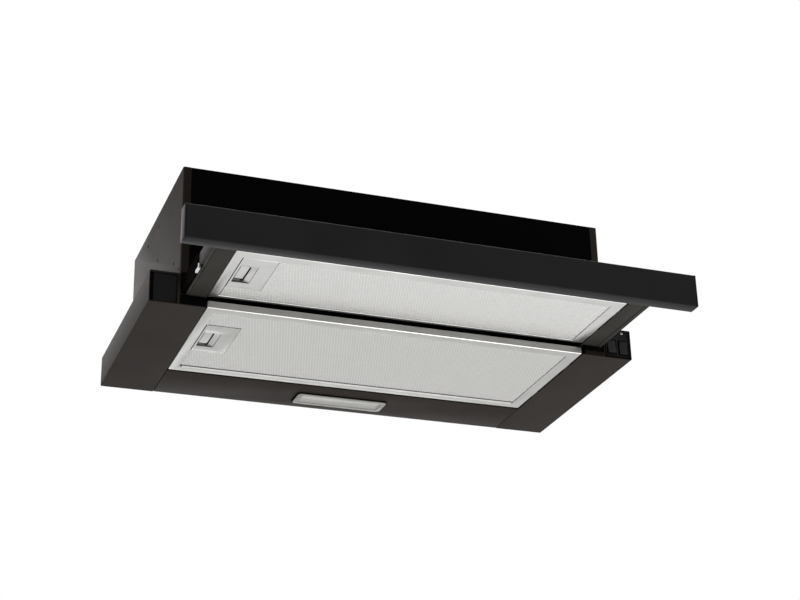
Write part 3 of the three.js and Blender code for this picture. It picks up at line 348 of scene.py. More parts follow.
@dataclass(frozen=True)
class ExpandedFoil:
    """Layers of expanded aluminium foil: bright strands over shade painted between the layers.

    Attributes:
        name: the material's name.
        slot: its material slot, which nothing in this script reads.
        strand: colour of the strands.
        shade: painted shade, the colour at the bottom of the openings.
        seam: darker painted shade, the colour in the trench round the foil.
        centre: height of the pad's middle over the hood's underside, in millimetres.
        half: half the pad's thickness.
        pit: depth of an opening.
        fold: depth of the trench.
    """

    name: str
    slot: str
    strand: Point
    shade: Point
    seam: Point
    centre: float
    half: float
    pit: float
    fold: float

    def make(self) -> bpy.types.Material:
        """Returns the material, darkened with the depth below the filter's two surfaces as painted
        shade.
        """
        recipe = Recipe(self.name)
        off_centre = recipe.distance(recipe.height(), level(self.centre))
        depth = recipe.span(off_centre, (mm(self.half), mm(self.half - self.fold)), (0, 1))
        # Painted shade: the colour darkens from the strands to the openings' floor, and on into the
        # trench.
        floor = self.pit / self.fold
        between = tuple((a + b) / 2 for a, b in zip(self.strand, self.shade))
        stops = ((floor * 0.25, self.strand), (floor * 0.6, between), (floor, self.shade),
                 (0.6, self.seam))
        recipe.feed("Base Color", recipe.ramp(depth, *stops))
        crumple = recipe.noise(1, 3, (900, 2400, 900))
        recipe.gloss(crumple, 0.34, 0.52)
        recipe.feed("Normal", recipe.relief(crumple, 0.35, 0.08))
        recipe.constant(Metallic=0.5)
        return recipe.material


@dataclass(frozen=True)
class Diffuser:
    """The lamp's frosted cover, ribbed inside."""

    name: str
    slot: str
    colour: Point

    def make(self) -> bpy.types.Material:
        """Returns the material: a milky plastic with fine ribs and a cloudy frosting."""
        recipe = Recipe(self.name)
        recipe.tone(recipe.noise(60, 3), self.colour, 0.05)
        frost = recipe.noise(1500, 2)
        recipe.gloss(frost, 0.26, 0.4)
        ribs = recipe.relief(recipe.ribs(260, "X"), 0.3, 0.15)
        recipe.feed("Normal", recipe.relief(frost, 0.15, 0.03, ribs))
        recipe.constant(Specular_IOR_Level=0.5, Subsurface_Weight=0.15, Subsurface_Scale=0.004)
        return recipe.material


@dataclass(frozen=True)
class BoardResist:
    """A circuit board's solder resist with the copper tracks faintly under it."""

    name: str
    slot: str
    colour: Point

    def make(self) -> bpy.types.Material:
        """Returns the material: tracks as a brick-like pattern under a glossy resist."""
        recipe = Recipe(self.name)
        dark, light = shades(self.colour, 0.35)
        tracks = recipe.cells(160, (1, 3, 1))
        recipe.feed("Base Color", recipe.ramp(tracks, (0.35, light), (0.5, dark)))
        recipe.gloss(tracks, 0.3, 0.45, (0, 1))
        recipe.feed("Normal", recipe.relief(tracks, 0.2, 0.05))
        return recipe.material


ALONG_X: Point = (14, 900, 900)
ALONG_Y: Point = (900, 14, 900)

SATIN = Lacquer("satin_powder_coat", "satin_black", (0.0308, 0.0252, 0.022), 0.42, 0.015, 0.12)
# Painted shade: a darker, rougher copy of the satin paint, laid on faces that sit in shade.
PAINTED_SHADE_SATIN = Lacquer("powder_coat_painted_shade", "satin_black", (0.014, 0.0122, 0.011), 0.6, 0, 0.12)
# The drawer's paint: a lighter, greyer copy of the body's satin; its extra lightness is painted light
# on the drawer.
PAINTED_LIGHT_DRAWER_COAT = Lacquer("drawer_coat_painted_light", "satin_black", (0.0425, 0.0392, 0.0345), 0.42, 0.02, 0.12)
GLOSS = Lacquer("high_gloss_lacquer", "gloss_black", (0.0012, 0.0011, 0.0012), 0.06, 0.012, 0.02, 500)
FACADE = Lacquer("facade_lacquer", "facade_black", (0.012, 0.0109, 0.0116), 0.36, 0.08, 0.08)
BLACK_MOULDING = Moulding("black_moulding", "black_plastic", (0.004, 0.0037, 0.0039), 0.5, 0.1)
ROCKER_MOULDING = Moulding("rocker_moulding", "black_plastic",
                           (0.008, 0.0071, 0.0082), 0.24, 0.16, 2200)
PLATE_MOULDING = Moulding("plate_moulding", "black_plastic", (0.0072, 0.0061, 0.006), 0.5, 0.1)
# Near-black rubber for the cap's band, the edge seals and the lamp's gasket; its black is also painted
# shade, there and on the switch plate's edges and wells and the rockers' sides.
BLACK_RUBBER_AND_SHADE = Moulding("black_rubber_and_painted_shade", "black_plastic", (0.0008, 0.0008, 0.0008), 0.8, 0.02)
WHITE_MOULDING = Moulding("warm_white_moulding", "white_plastic", (0.27, 0.263, 0.247), 0.4)
GREY_MOULDING = Moulding("grey_moulding", "grey_plastic", (0.25, 0.26, 0.27), 0.5)
FILTER_ALUMINIUM = RolledMetal("rolled_aluminium", "filter_aluminium",
                               (0.45, 0.447, 0.433), 0.42, ALONG_X)
# Painted light: the same rolled aluminium made lighter, standing in for the light on the drawer filter.
PAINTED_LIGHT_ALUMINIUM = RolledMetal("aluminium_painted_light", "filter_aluminium",
                               (0.6, 0.597, 0.583), 0.42, ALONG_X)
# Painted highlight: a bright copy of the aluminium, laid where the filters' rounded edges and the rear
# bead catch the light.
PAINTED_HIGHLIGHT_METAL = RolledMetal("metal_painted_highlight", "filter_aluminium",
                            (0.74, 0.736, 0.715), 0.3, ALONG_X, 0.9)
# Painted shade: a darker copy of the aluminium on the filters' front walls.
PAINTED_SHADE_WALL = RolledMetal("wall_painted_shade", "filter_aluminium", (0.27, 0.267, 0.256), 0.5, ALONG_X)
# Dark steel of the latches; also painted shade, in the finger cups' wells and on the front of the rear
# bead.
STEEL_AND_PAINTED_SHADE = RolledMetal("steel_and_painted_shade", "filter_aluminium", (0.09, 0.09, 0.084), 0.45, ALONG_Y)
ZINC = RolledMetal("zinc_plate", "zinc_steel", (0.66, 0.68, 0.7), 0.3, (900, 12, 900))
# Painted shadow: near black, on the rear of the middle slide members, where they run into shade in the
# hood.
PAINTED_SHADOW_RAIL = Lacquer("rail_painted_shadow", "zinc_steel", (0.004, 0.0035, 0.0033), 0.8, 0, 0.1)
OUTER_RAIL = Lacquer("outer_rail_coat", "zinc_steel", (0.03, 0.0262, 0.0235), 0.42, 0.015, 0.12)
# Painted light: a much lighter copy of the rail paint, laid on the inner rails' undersides, lit from
# below.
PAINTED_LIGHT_UNDERSIDE = Lacquer("underside_painted_light", "zinc_steel", (0.085, 0.079, 0.075), 0.4, 0.05, 0.12)
MIDDLE_RAIL = Lacquer("middle_rail_coat", "zinc_steel", (0.007, 0.0061, 0.0056), 0.6, 0, 0.12)
# Painted light: a lighter copy of the satin paint on the inner rails, standing in for the light on
# them.
PAINTED_LIGHT_RAIL_COAT = Lacquer("rail_coat_painted_light", "zinc_steel", (0.043, 0.0395, 0.037), 0.4, 0.05, 0.12)
BLACK_SCREW = Lacquer("blackened_screw", "black_plastic", (0.01, 0.01, 0.01), 0.35, 0.2, 0.1)
SCREW_ZINC = RolledMetal("screw_zinc", "zinc_steel", (0.33, 0.33, 0.325), 0.3, (500, 500, 60))
LENS = Diffuser("frosted_diffuser", "lamp_lens", (0.45, 0.444, 0.42))
BOARD = BoardResist("solder_resist", "circuit_board", (0.03, 0.11, 0.05))

Finish: TypeAlias = Lacquer | Moulding | RolledMetal | ExpandedFoil | Diffuser | BoardResist
made_finishes: dict[str, bpy.types.Material] = {}


def material_of(finish: Finish) -> bpy.types.Material:
    """Returns a finish's material, made on first use."""
    if finish.name not in made_finishes:
        made_finishes[finish.name] = finish.make()
    return made_finishes[finish.name]


# ---- The bench: the moves that every piece is made with -----------------------------------------


class Part(Enum):
    """What a selection in edit mode picks."""

    CORNER = "VERT"
    EDGE = "EDGE"
    FACE = "FACE"


class Axis(Enum):
    """An axis, with the unit vector along it."""

    X = (1, 0, 0)
    Y = (0, 1, 0)
    Z = (0, 0, 1)


def deselect() -> None:
    """Clears the selection."""
    bpy.ops.object.select_all(action="DESELECT")


def take(piece: Piece) -> None:
    """Makes a piece the only one selected, and the active one."""
    deselect()
    piece.select_set(True)
    bpy.context.view_layer.objects.active = piece


@contextmanager
def editing(piece: Piece) -> Iterator[None]:
    """Opens a piece in edit mode and closes it afterwards."""
    take(piece)
    bpy.ops.object.mode_set(mode="EDIT")
    yield
    bpy.ops.object.mode_set(mode="OBJECT")


def middle(element: bmesh.types.BMVert | bmesh.types.BMEdge | bmesh.types.BMFace) -> Vector:
    """Finds the middle of an element.

    Args:
        element: a corner, an edge or a face.

    Returns:
        Its middle.
    """
    if isinstance(element, bmesh.types.BMVert):
        return element.co
    if isinstance(element, bmesh.types.BMEdge):
        return (element.verts[0].co + element.verts[1].co) / 2
    return element.calc_center_median()


def pick(piece: Piece, part: Part, wanted: Callable[..., bool]) -> None:
    """Selects elements in edit mode by a test.

    Args:
        piece: the piece that is open.
        part: what to select.
        wanted: the test, which is given each element.
    """
    bpy.ops.mesh.select_mode(type=part.value)
    bpy.ops.mesh.select_all(action="DESELECT")
    mesh = bmesh.from_edit_mesh(piece.data)
    elements = {Part.CORNER: mesh.verts, Part.EDGE: mesh.edges, Part.FACE: mesh.faces}[part]
    for element in [element for element in elements if wanted(element)]:
        element.select_set(True)
    mesh.select_flush_mode()
    bmesh.update_edit_mesh(piece.data)


def pick_all() -> None:
    """Selects everything in edit mode."""
    bpy.ops.mesh.select_all(action="SELECT")


def shift(x: float = 0, y: float = 0, z: float = 0) -> None:
    """Moves what is selected in edit mode, by metres."""
    bpy.ops.transform.translate(value=(x, y, z))


def draw_edges(by: Sequence[float] = (0, 0, 0)) -> None:
    """Extrudes the edges selected in edit mode, and moves the new ones by metres."""
    bpy.ops.mesh.extrude_edges_move(TRANSFORM_OT_translate={"value": by})


def draw_faces(by: Sequence[float]) -> None:
    """Extrudes the faces selected in edit mode, and moves the new ones by metres."""
    bpy.ops.mesh.extrude_region_move(TRANSFORM_OT_translate={"value": by})


def round_edges(width: float, segments: int) -> None:
    """Bevels the edges selected in edit mode, to a width in millimetres."""
    bpy.ops.mesh.bevel(offset=mm(width), segments=segments, affect="EDGES")


def face_outwards() -> None:
    """Turns all faces of the open piece outwards."""
    pick_all()
    bpy.ops.mesh.normals_make_consistent(inside=False)


def fix_place() -> None:
    """Moves the active object's place, turn and scale into its mesh."""
    bpy.ops.object.transform_apply(location=True, rotation=True, scale=True)


def new_block(name: str, x: Span, y: Span, z: Span) -> Piece:
    """Adds a block.

    Args:
        name: its name.
        x: its two ends across, in millimetres.
        y: its front and rear.
        z: its underside and top.

    Returns:
        The block.
    """
    deselect()
    low, high = place(x[0], y[0], z[0]), place(x[1], y[1], z[1])
    bpy.ops.mesh.primitive_cube_add(size=1, location=(low + high) / 2, scale=high - low)
    piece = bpy.context.object
    piece.name = name
    fix_place()
    return piece


def new_rod(name: str, axis: Axis, radius: float, span: Span, centre: Span, sides: int = 24) -> Piece:
    """Adds a round bar.

    Args:
        name: its name.
        axis: the way it runs.
        radius: its radius, in millimetres.
        span: its two ends along the axis.
        centre: its centre in the other two axes, in the order x, y, z.
        sides: how many flat sides it has.

    Returns:
        The bar.
    """
    deselect()
    along = sum(span) / 2
    centres = {Axis.X: (along, *centre), Axis.Y: (centre[0], along, centre[1]),
               Axis.Z: (*centre, along)}
    turns = {Axis.X: (0, math.pi / 2, 0), Axis.Y: (math.pi / 2, 0, 0), Axis.Z: (0, 0, 0)}
    bpy.ops.mesh.primitive_cylinder_add(vertices=sides, radius=mm(radius), depth=mm(span[1] - span[0]),
                                        location=place(*centres[axis]), rotation=turns[axis])
    piece = bpy.context.object
    piece.name = name
    fix_place()
    return piece


def rounded_block(name: str, x: Span, y: Span, z: Span, radius: float) -> Piece:
    """Adds a block whose upright edges are rounded.

    Args:
        name: its name.
        x: its two ends across, in millimetres.
        y: its front and rear.
        z: its underside and top.
        radius: the radius of its upright edges.

    Returns:
        The block.
    """
    piece = new_block(name, x, y, z)
    with editing(piece):
        upright = mm(min(0.1, (z[1] - z[0]) / 2))
        pick(piece, Part.EDGE, lambda e: abs(e.verts[0].co.z - e.verts[1].co.z) > upright)
        round_edges(radius, 6)
    return piece


def apply(piece: Piece, kind: str, **settings: object) -> None:
    """Adds a modifier and applies it.

    Args:
        piece: the piece.
        kind: the modifier's type.
        settings: its settings by name.
    """
    take(piece)
    modifier = piece.modifiers.new(kind.lower(), kind)
    for key, value in settings.items():
        setattr(modifier, key, value)
    bpy.ops.object.modifier_apply(modifier=modifier.name)


def carve(piece: Piece, *tools: Piece) -> None:
    """Cuts other pieces out of a piece, and removes them."""
    for tool in tools:
        apply(piece, "BOOLEAN", operation="DIFFERENCE", solver="EXACT", object=tool)
        bpy.data.objects.remove(tool)


def fuse(piece: Piece, *others: Piece) -> None:
    """Welds other pieces onto a piece."""
    for other in others:
        apply(piece, "BOOLEAN", operation="UNION", solver="EXACT", object=other)
        bpy.data.objects.remove(other)


def merge_up(piece: Piece) -> None:
    """Merges doubled corners and dissolves edges between faces that lie in one plane."""
    with editing(piece):
        pick_all()
        bpy.ops.mesh.remove_doubles(threshold=WELD)
        bpy.ops.mesh.dissolve_limited(angle_limit=math.radians(0.5))


@dataclass(frozen=True)
class Edges:
    """How a piece's edges are rounded.

    Attributes:
        width: the round's width in millimetres.
        segments: how many facets it has.
        angle: edges sharper than this many degrees are rounded.
    """

    width: float
    segments: int = 2
    angle: float = 35

    def soften(self, piece: Piece) -> None:
        """Rounds a piece's edges."""
        apply(piece, "BEVEL", width=mm(self.width), segments=self.segments, limit_method="ANGLE",
              angle_limit=math.radians(self.angle), use_clamp_overlap=True, miter_outer="MITER_ARC")


SHEET_EDGES = Edges(0.2, 1, 60)


def smooth(piece: Piece, angle: float = 32) -> None:
    """Shades a piece smooth, apart from edges sharper than an angle in degrees."""
    take(piece)
    bpy.ops.object.shade_smooth_by_angle(angle=math.radians(angle))


def fold(name: str, axis: Axis, path: Sequence[Span], span: Span, bend: float = 1.6,
         gauge: float = SHEET) -> Piece:
    """Folds a piece of sheet to a path.

    Args:
        name: the piece's name.
        axis: the way the folds run.
        path: the outer side of the sheet across that axis, in the order of x, y and z, with the
            sheet's thickness to the left of the way the path runs.
        span: the sheet's two ends along the axis.
        bend: the outer radius of the folds, in millimetres.
        gauge: the sheet's thickness.

    Returns:
        The folded sheet.
    """
    lift = {Axis.X: lambda u, v: place(span[0], u, v), Axis.Y: lambda u, v: place(u, span[0], v),
            Axis.Z: lambda u, v: place(u, v, span[0])}[axis]
    corners = [lift(*point) for point in path]
    deselect()
    bpy.ops.mesh.primitive_plane_add(size=mm(1), location=(0, 0, 0))
    piece = bpy.context.object
    piece.name = name
    along = Vector(axis.value)
    with editing(piece):
        bpy.ops.mesh.select_mode(type=Part.CORNER.value)
        pick_all()
        bpy.ops.mesh.merge(type="CENTER")
        shift(*corners[0])
        for before, after in zip(corners, corners[1:]):
            bpy.ops.mesh.extrude_vertices_move(TRANSFORM_OT_translate={"value": after - before})
        pick_all()
        draw_edges(along * mm(span[1] - span[0]))
        pick(piece, Part.EDGE, lambda edge: len(edge.link_faces) == 2
             and abs((edge.verts[1].co - edge.verts[0].co).normalized().dot(along)) > 0.99)
        round_edges(bend, 4)
        face_outwards()
    inward = along.cross(corners[1] - corners[0]) * (-1 if axis is Axis.Y else 1)
    start = (corners[0] + corners[1]) / 2 + along * mm(span[1] - span[0]) / 2
    first = min(piece.data.polygons, key=lambda face: (face.center - start).length)
    apply(piece, "SOLIDIFY", thickness=mm(gauge), offset=1 if first.normal.dot(inward) > 0 else -1,
          use_even_offset=True)
    with editing(piece):
        pick_all()
        bpy.ops.mesh.remove_doubles(threshold=WELD)
        face_outwards()
    return piece


def copy_of(node: str, name: str) -> Piece:
    """Copies a CAD node's mesh into a new piece, merged."""
    piece = bpy.data.objects.new(name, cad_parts[node].data.copy())
    bpy.context.scene.collection.objects.link(piece)
    merge_up(piece)
    return piece


def score(piece: Piece, at: Point, across: Axis) -> None:
    """Cuts new edges round a piece, through a point and across an axis, where its finish changes."""
    with editing(piece):
        pick_all()
        bpy.ops.mesh.bisect(plane_co=place(*at), plane_no=across.value)


def hand_over(piece: Piece, body: str, finish: Finish, *nodes: str) -> None:
    """Finishes a piece: its material, its body and the CAD nodes that it stands for.

    Args:
        piece: the piece.
        body: the body that it moves with.
        finish: its finish.
        nodes: the CAD nodes that it replaces.
    """
    piece.data.materials.clear()
    piece.data.materials.append(material_of(finish))
    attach(piece, body)
    if nodes:
        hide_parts(*nodes)
    log.info("%s: %d faces on %s", piece.name, len(piece.data.polygons), body)


def complete(piece: Piece, edges: Edges, body: str, finish: Finish, *nodes: str) -> None:
    """Rounds a piece's edges, shades it smooth and hands it over.

    Args:
        piece: the piece.
        edges: how its edges are rounded.
        body: the body that it moves with.
        finish: its finish.
        nodes: the CAD nodes that it replaces.
    """
    edges.soften(piece)
    smooth(piece)
    hand_over(piece, body, finish, *nodes)


def tint(piece: Piece, finish: Finish, wanted: Callable[[bmesh.types.BMFace], bool]) -> None:
    """Gives some faces of a piece a second finish of the same slot.

    Args:
        piece: the piece.
        finish: the second finish.
        wanted: the test that these faces pass.
    """
    piece.data.materials.append(material_of(finish))
    with editing(piece):
        pick(piece, Part.FACE, wanted)
        piece.active_material_index = len(piece.data.materials) - 1
        bpy.ops.object.material_slot_assign()


def refine(node: str, name: str, body: str, finish: Finish, edges: Edges) -> None:
    """Replaces a CAD node by a copy with rounded edges.

    Args:
        node: the node.
        name: the new piece's name.
        body: the body that it moves with.
        finish: its finish.
        edges: how its edges are rounded.
    """
    complete(copy_of(node, name), edges, body, finish, node)


def dress(node: str, finish: Finish) -> None:
    """Gives a CAD node that stays as it is its finish."""
    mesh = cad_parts[node].data
    mesh.materials.clear()
    mesh.materials.append(material_of(finish))
    log.info("%s: kept, in %s", node, finish.name)


# ---- Body ---------------------------------------------------------------------------------------


@dataclass
class UpperBody:
    """The folded shell, the gloss front between its returns, and the top panel."""

    half_width: float = 264
    depth: float = 266
    top: float = 175
    foot: float = 1.3
    slot_height: float = 40
    way: Span = (-3, 3)
    notch: tuple[Span, Span] = ((-3, 1.3), (-5, 10.3))
    front_return: float = 9.5
    panel_return: float = 12
    panel_bend: float = 1.2
    gap: float = 0.3
    hole_radius: float = 2.2
    holes: tuple[Span, ...] = ((183, 157.5), (124.6, 110.8), (35.3, 66.2), (124, 156.3), (12.2, 48.8))

    def build(self) -> None:
        """Builds the three panels."""
        self.shell()
        self.front()
        refine("top_panel", "top_pressing", "hood_body", SATIN, Edges(0.8))

    def shell(self) -> None:
        """Folds the side and rear walls from one sheet, and cuts the drawer's way and the holes."""
        edge = self.half_width - self.front_return
        piece = fold("shell_folding", Axis.Z, [
            (edge, 0), (self.half_width, 0), (self.half_width, self.depth),
            (-self.half_width, self.depth), (-self.half_width, 0), (-edge, 0),
        ], (self.foot, self.top))
        clear, across = self.half_width - SHEET, (-self.half_width - 6, self.half_width + 6)
        carve(piece, new_block("way", (-clear, clear), self.way, (-5, self.slot_height)))
        carve(piece, new_block("notch", across, *self.notch))
        for spot in self.holes:
            carve(piece, new_rod("hole", Axis.X, self.hole_radius, across, spot, 20))
        complete(piece, SHEET_EDGES, "hood_body", SATIN, "upper_shell")

    def front(self) -> None:
        """Folds the gloss front panel."""
        half = self.half_width - self.front_return - self.gap
        piece = fold("gloss_front", Axis.X, [
            (0, self.top), (0, self.slot_height), (self.panel_return, self.slot_height),
        ], (-half, half), self.panel_bend)
        complete(piece, SHEET_EDGES, "hood_body", GLOSS, "front_panel")


@dataclass
class LowerBody:
    """The two wings, the rear strip between them, the cap, the switch plate, and edge seals whose black
    is also painted shade.
    """

    half_hood: float = 299
    half_body: float = 264
    height: float = 38.6
    depth: float = 269
    ledge: float = 233.2
    tab: float = 14
    hang_gap: float = 0.3
    inset: float = 0.5
    lip: float = 6.5
    lip_margins: Span = (4, 1.3)
    rib: Span = (-266.2, -264.4)
    strip_front: float = 193.1
    strip_return: float = 9
    strip_bend: float = 1.2
    strip_seam: float = 0.8
    lap: tuple[Span, Span, Span] = ((-6, 12), (14, 264), (1.3, 2.3))
    weld: tuple[Span, Span] = ((-6, -2), (0.5, 1.8))
    window: tuple[Span, Span] = ((-58.8, 61.7), (217.9, 254.3))
    window_corner: float = 6
    cap_band: float = 293.4
    plate_band: float = 4
    plate_side: float = 296.2
    rocker_wells: tuple[Span, Span] = ((267.3, 280.3), (282.9, 295.9))
    well_depth: float = 6
    well_height: Span = (5.6, 25.2)
    seal_depth: Span = (-0.9, -0.1)
    left_seal: tuple[Span, Span] = ((-262.6, -233.2), (0.7, 11.8))
    right_seal: tuple[Span, Span] = ((233.2, 258), (6, 11.8))

    def build(self) -> None:
        """Builds both wings, the strip, the cap, the switch plate and the seals, whose black is also
        painted shade.
        """
        for side, name in ((-1, "left"), (1, "right")):
            self.wing(side, name)
        self.strip()
        self.cap()
        self.plate()
        # Black seals across the wings' fronts under the drawer's flanges; their black also stands in
        # for the shade inside the hood there.
        for name, (x, z) in (("seal_and_painted_shade_left", self.left_seal), ("seal_and_painted_shade_right", self.right_seal)):
            complete(new_block(name, x, self.seal_depth, z), Edges(0.3), "hood_body", BLACK_RUBBER_AND_SHADE)

    def wing(self, side: int, name: str) -> None:
        """Folds one wing and welds its rear wall and front lip on.

        Args:
            side: -1 for the left wing, 1 for the right one.
            name: the side's name.
        """
        hung = self.half_body + self.hang_gap
        path = [
            (side * self.ledge, 0), (side * self.half_hood, 0), (side * self.half_hood, self.height),
            (side * hung, self.height), (side * hung, self.height - self.tab),
        ]
        piece = fold(f"{name}_wing_folding", Axis.Y, path if side > 0 else path[::-1], (0, self.depth))
        upright = (self.inset, self.height - self.inset)
        rear = new_block("rear", beside(side, self.ledge, self.half_hood - self.inset),
                         (self.depth - SHEET, self.depth), upright)
        inner_margin, outer_margin = self.lip_margins
        lip = new_block("lip", beside(side, self.ledge + inner_margin, self.half_body - outer_margin),
                        (0, SHEET), (self.inset, self.lip))
        fuse(piece, rear, lip)
        if side < 0:
            fuse(piece, new_block("rib", self.rib, (0, SHEET), upright))
        complete(piece, SHEET_EDGES, "hood_body", SATIN, f"{name}_wing")
        # Painted shade: the front lips between the drawer and the wings' sides are darkened, as they
        # sit in shade.
        tint(piece, PAINTED_SHADE_SATIN, lambda f: f.normal.y < -0.9 and abs(middle(f).x) < mm(self.half_body)
             and level(SHEET) < middle(f).z < level(self.lip))

    def strip(self) -> None:
        """Folds the rear underside strip, welds its laps on and cuts the lamp's window."""
        half = self.ledge - self.strip_seam
        piece = fold("rear_strip_folding", Axis.X, [
            (self.strip_front, self.strip_return), (self.strip_front, 0),
            (self.depth, 0), (self.depth, self.height),
        ], (-half, half), self.strip_bend)
        (inner, outer), (start, end), height = self.lap
        (weld_inner, weld_outer), weld_height = self.weld
        rows = (self.strip_front + start, end)
        for side in (-1, 1):
            lap = new_block("lap", beside(side, half + inner, half + outer), rows, height)
            fuse(lap, new_block("weld", beside(side, half + weld_inner, half + weld_outer), rows,
                                weld_height))
            fuse(piece, lap)
        carve(piece, rounded_block("window", *self.window, (-3, 3), self.window_corner))
        complete(piece, SHEET_EDGES, "hood_body", SATIN, "rear_strip")
        # Painted shade: the strip's front fold, its sides at the seams and the laps seen through the
        # seams are darkened.
        tint(piece, PAINTED_SHADE_SATIN, lambda f: f.normal.y < -0.05
             and middle(f).y < mm(self.strip_front + 2)
             or abs(f.normal.x) > 0.7 and abs(middle(f).x) > mm(half - 0.3)
             or f.normal.z < -0.7 and middle(f).z > level(0.8) and abs(middle(f).x) > mm(half - 7))

    def cap(self) -> None:
        """Rounds the left wing's cap, with a black band down its outer side."""
        piece = copy_of("left_wing_cap", "left_cap")
        score(piece, (-self.cap_band, 0, 0), Axis.X)
        complete(piece, Edges(0.6, 3), "hood_body", BLACK_MOULDING, "left_wing_cap")
        tint(piece, BLACK_RUBBER_AND_SHADE, lambda f: middle(f).x < -mm(self.cap_band))

    def plate(self) -> None:
        """Squares the switch plate's wells and paints shade black in them and on its lower and outer
        edges.
        """
        piece = copy_of("switch_housing", "switch_plate")
        for x in self.rocker_wells:
            carve(piece, new_block("well", x, (0, self.well_depth), self.well_height))
        score(piece, (0, 0, self.plate_band), Axis.Z)
        complete(piece, Edges(0.4), "hood_body", PLATE_MOULDING, "switch_housing")
        # Painted shade: black in the wells and along the plate's lower and outer edges, where they sit
        # in shade.
        tint(piece, BLACK_RUBBER_AND_SHADE, lambda f: middle(f).z < level(self.plate_band)
             or middle(f).x > mm(self.plate_side) or middle(f).y > mm(3) and middle(f).z < level(26))


@dataclass
class Switches:
    """The two rocker switches."""

    width_share: float = 0.88
    height_share: float = 0.94
    face_depth: float = 2.7

    def build(self) -> None:
        """Builds the rockers a little smaller than their wells, with soft edges and sides painted black
        as shade.
        """
        for name in ("light_rocker", "speed_rocker"):
            key = copy_of(name, f"{name}_key")
            centre = sum((Vector(corner) for corner in key.bound_box), Vector()) / len(key.bound_box)
            with editing(key):
                pick_all()
                bpy.ops.transform.resize(value=(self.width_share, 1, self.height_share),
                                         center_override=centre)
            complete(key, Edges(0.5, 3), name, ROCKER_MOULDING, name)
            # Painted shade: the rockers' sides behind the front face are black, as the shade in the
            # gaps round them.
            tint(key, BLACK_RUBBER_AND_SHADE, lambda f: middle(f).y > mm(self.face_depth))


# ---- Drawer -------------------------------------------------------------------------------------


@dataclass
class Drawer:
    """The sliding duct with the lip under its right flange, the facade bar and its end caps."""

    half_width: float = 254.2
    bottom: float = 13.5
    top: float = 34.5
    flange: float = 233
    front: float = -149.1
    plate_rear: float = 12
    arm: float = 45
    arm_flange: float = 8
    filter_front: float = -123.4
    lip_reach: Span = (0.1, 5.4)
    lip_rear: float = 54
    lip_height: Span = (13.6, 14.4)
    bar_front: float = -166.4
    bar_rear: float = -149.4
    bar_bottom: float = 0.7
    bar_height: float = 39.1
    bar_half: float = 297.1
    bar_top_lip: float = 10
    bar_bottom_lip: float = 15
    bar_bend: float = 0.9
    bar_gauge: float = 1.2

    def build(self) -> None:
        """Builds the duct, the bar, the caps and the lip."""
        self.duct()
        self.bar()
        for side in ("left", "right"):
            refine(f"facade_cap_{side}", f"{side}_bar_cap", "drawer", FACADE, Edges(0.3))
        inner, outer = (self.half_width + reach for reach in self.lip_reach)
        lip = new_block("right_flange_lip", (inner, outer), (self.front, self.lip_rear),
                        self.lip_height)
        complete(lip, Edges(0.2, 1), "drawer", PAINTED_LIGHT_DRAWER_COAT)

    def duct(self) -> None:
        """Folds the drawer's duct and cuts its open rear."""
        end = self.plate_rear + self.arm
        piece = fold("drawer_folding", Axis.Y, [
            (self.flange, self.bottom), (self.half_width, self.bottom), (self.half_width, self.top),
            (-self.half_width, self.top), (-self.half_width, self.bottom), (-self.flange, self.bottom),
        ], (self.front, end))
        wall_half, floor_half = self.half_width - 0.5, self.flange + 1
        wall = new_block("wall", (-wall_half, wall_half), (self.front, self.front + SHEET),
                         (self.bottom + 0.1, self.top - 0.5))
        floor = new_block("floor", (-floor_half, floor_half), (self.front, self.filter_front - 1),
                          (self.bottom, self.bottom + SHEET))
        fuse(piece, wall, floor)
        inside = self.half_width - self.arm_flange
        carve(piece, new_block("rear", (-inside, inside), (self.plate_rear, end + 5),
                               (self.bottom - 5, self.top + 5)))
        complete(piece, SHEET_EDGES, "drawer", PAINTED_LIGHT_DRAWER_COAT, "drawer_frame")

    def bar(self) -> None:
        """Folds the facade bar."""
        top = self.bar_bottom + self.bar_height
        piece = fold("facade_folding", Axis.X, [
            (self.bar_rear, top - self.bar_top_lip), (self.bar_rear, top), (self.bar_front, top),
            (self.bar_front, self.bar_bottom), (self.bar_rear, self.bar_bottom),
            (self.bar_rear, self.bar_bottom + self.bar_bottom_lip),
        ], (-self.bar_half, self.bar_half), self.bar_bend, self.bar_gauge)
        complete(piece, SHEET_EDGES, "drawer", FACADE, "facade")


# ---- Grease filters -----------------------------------------------------------------------------


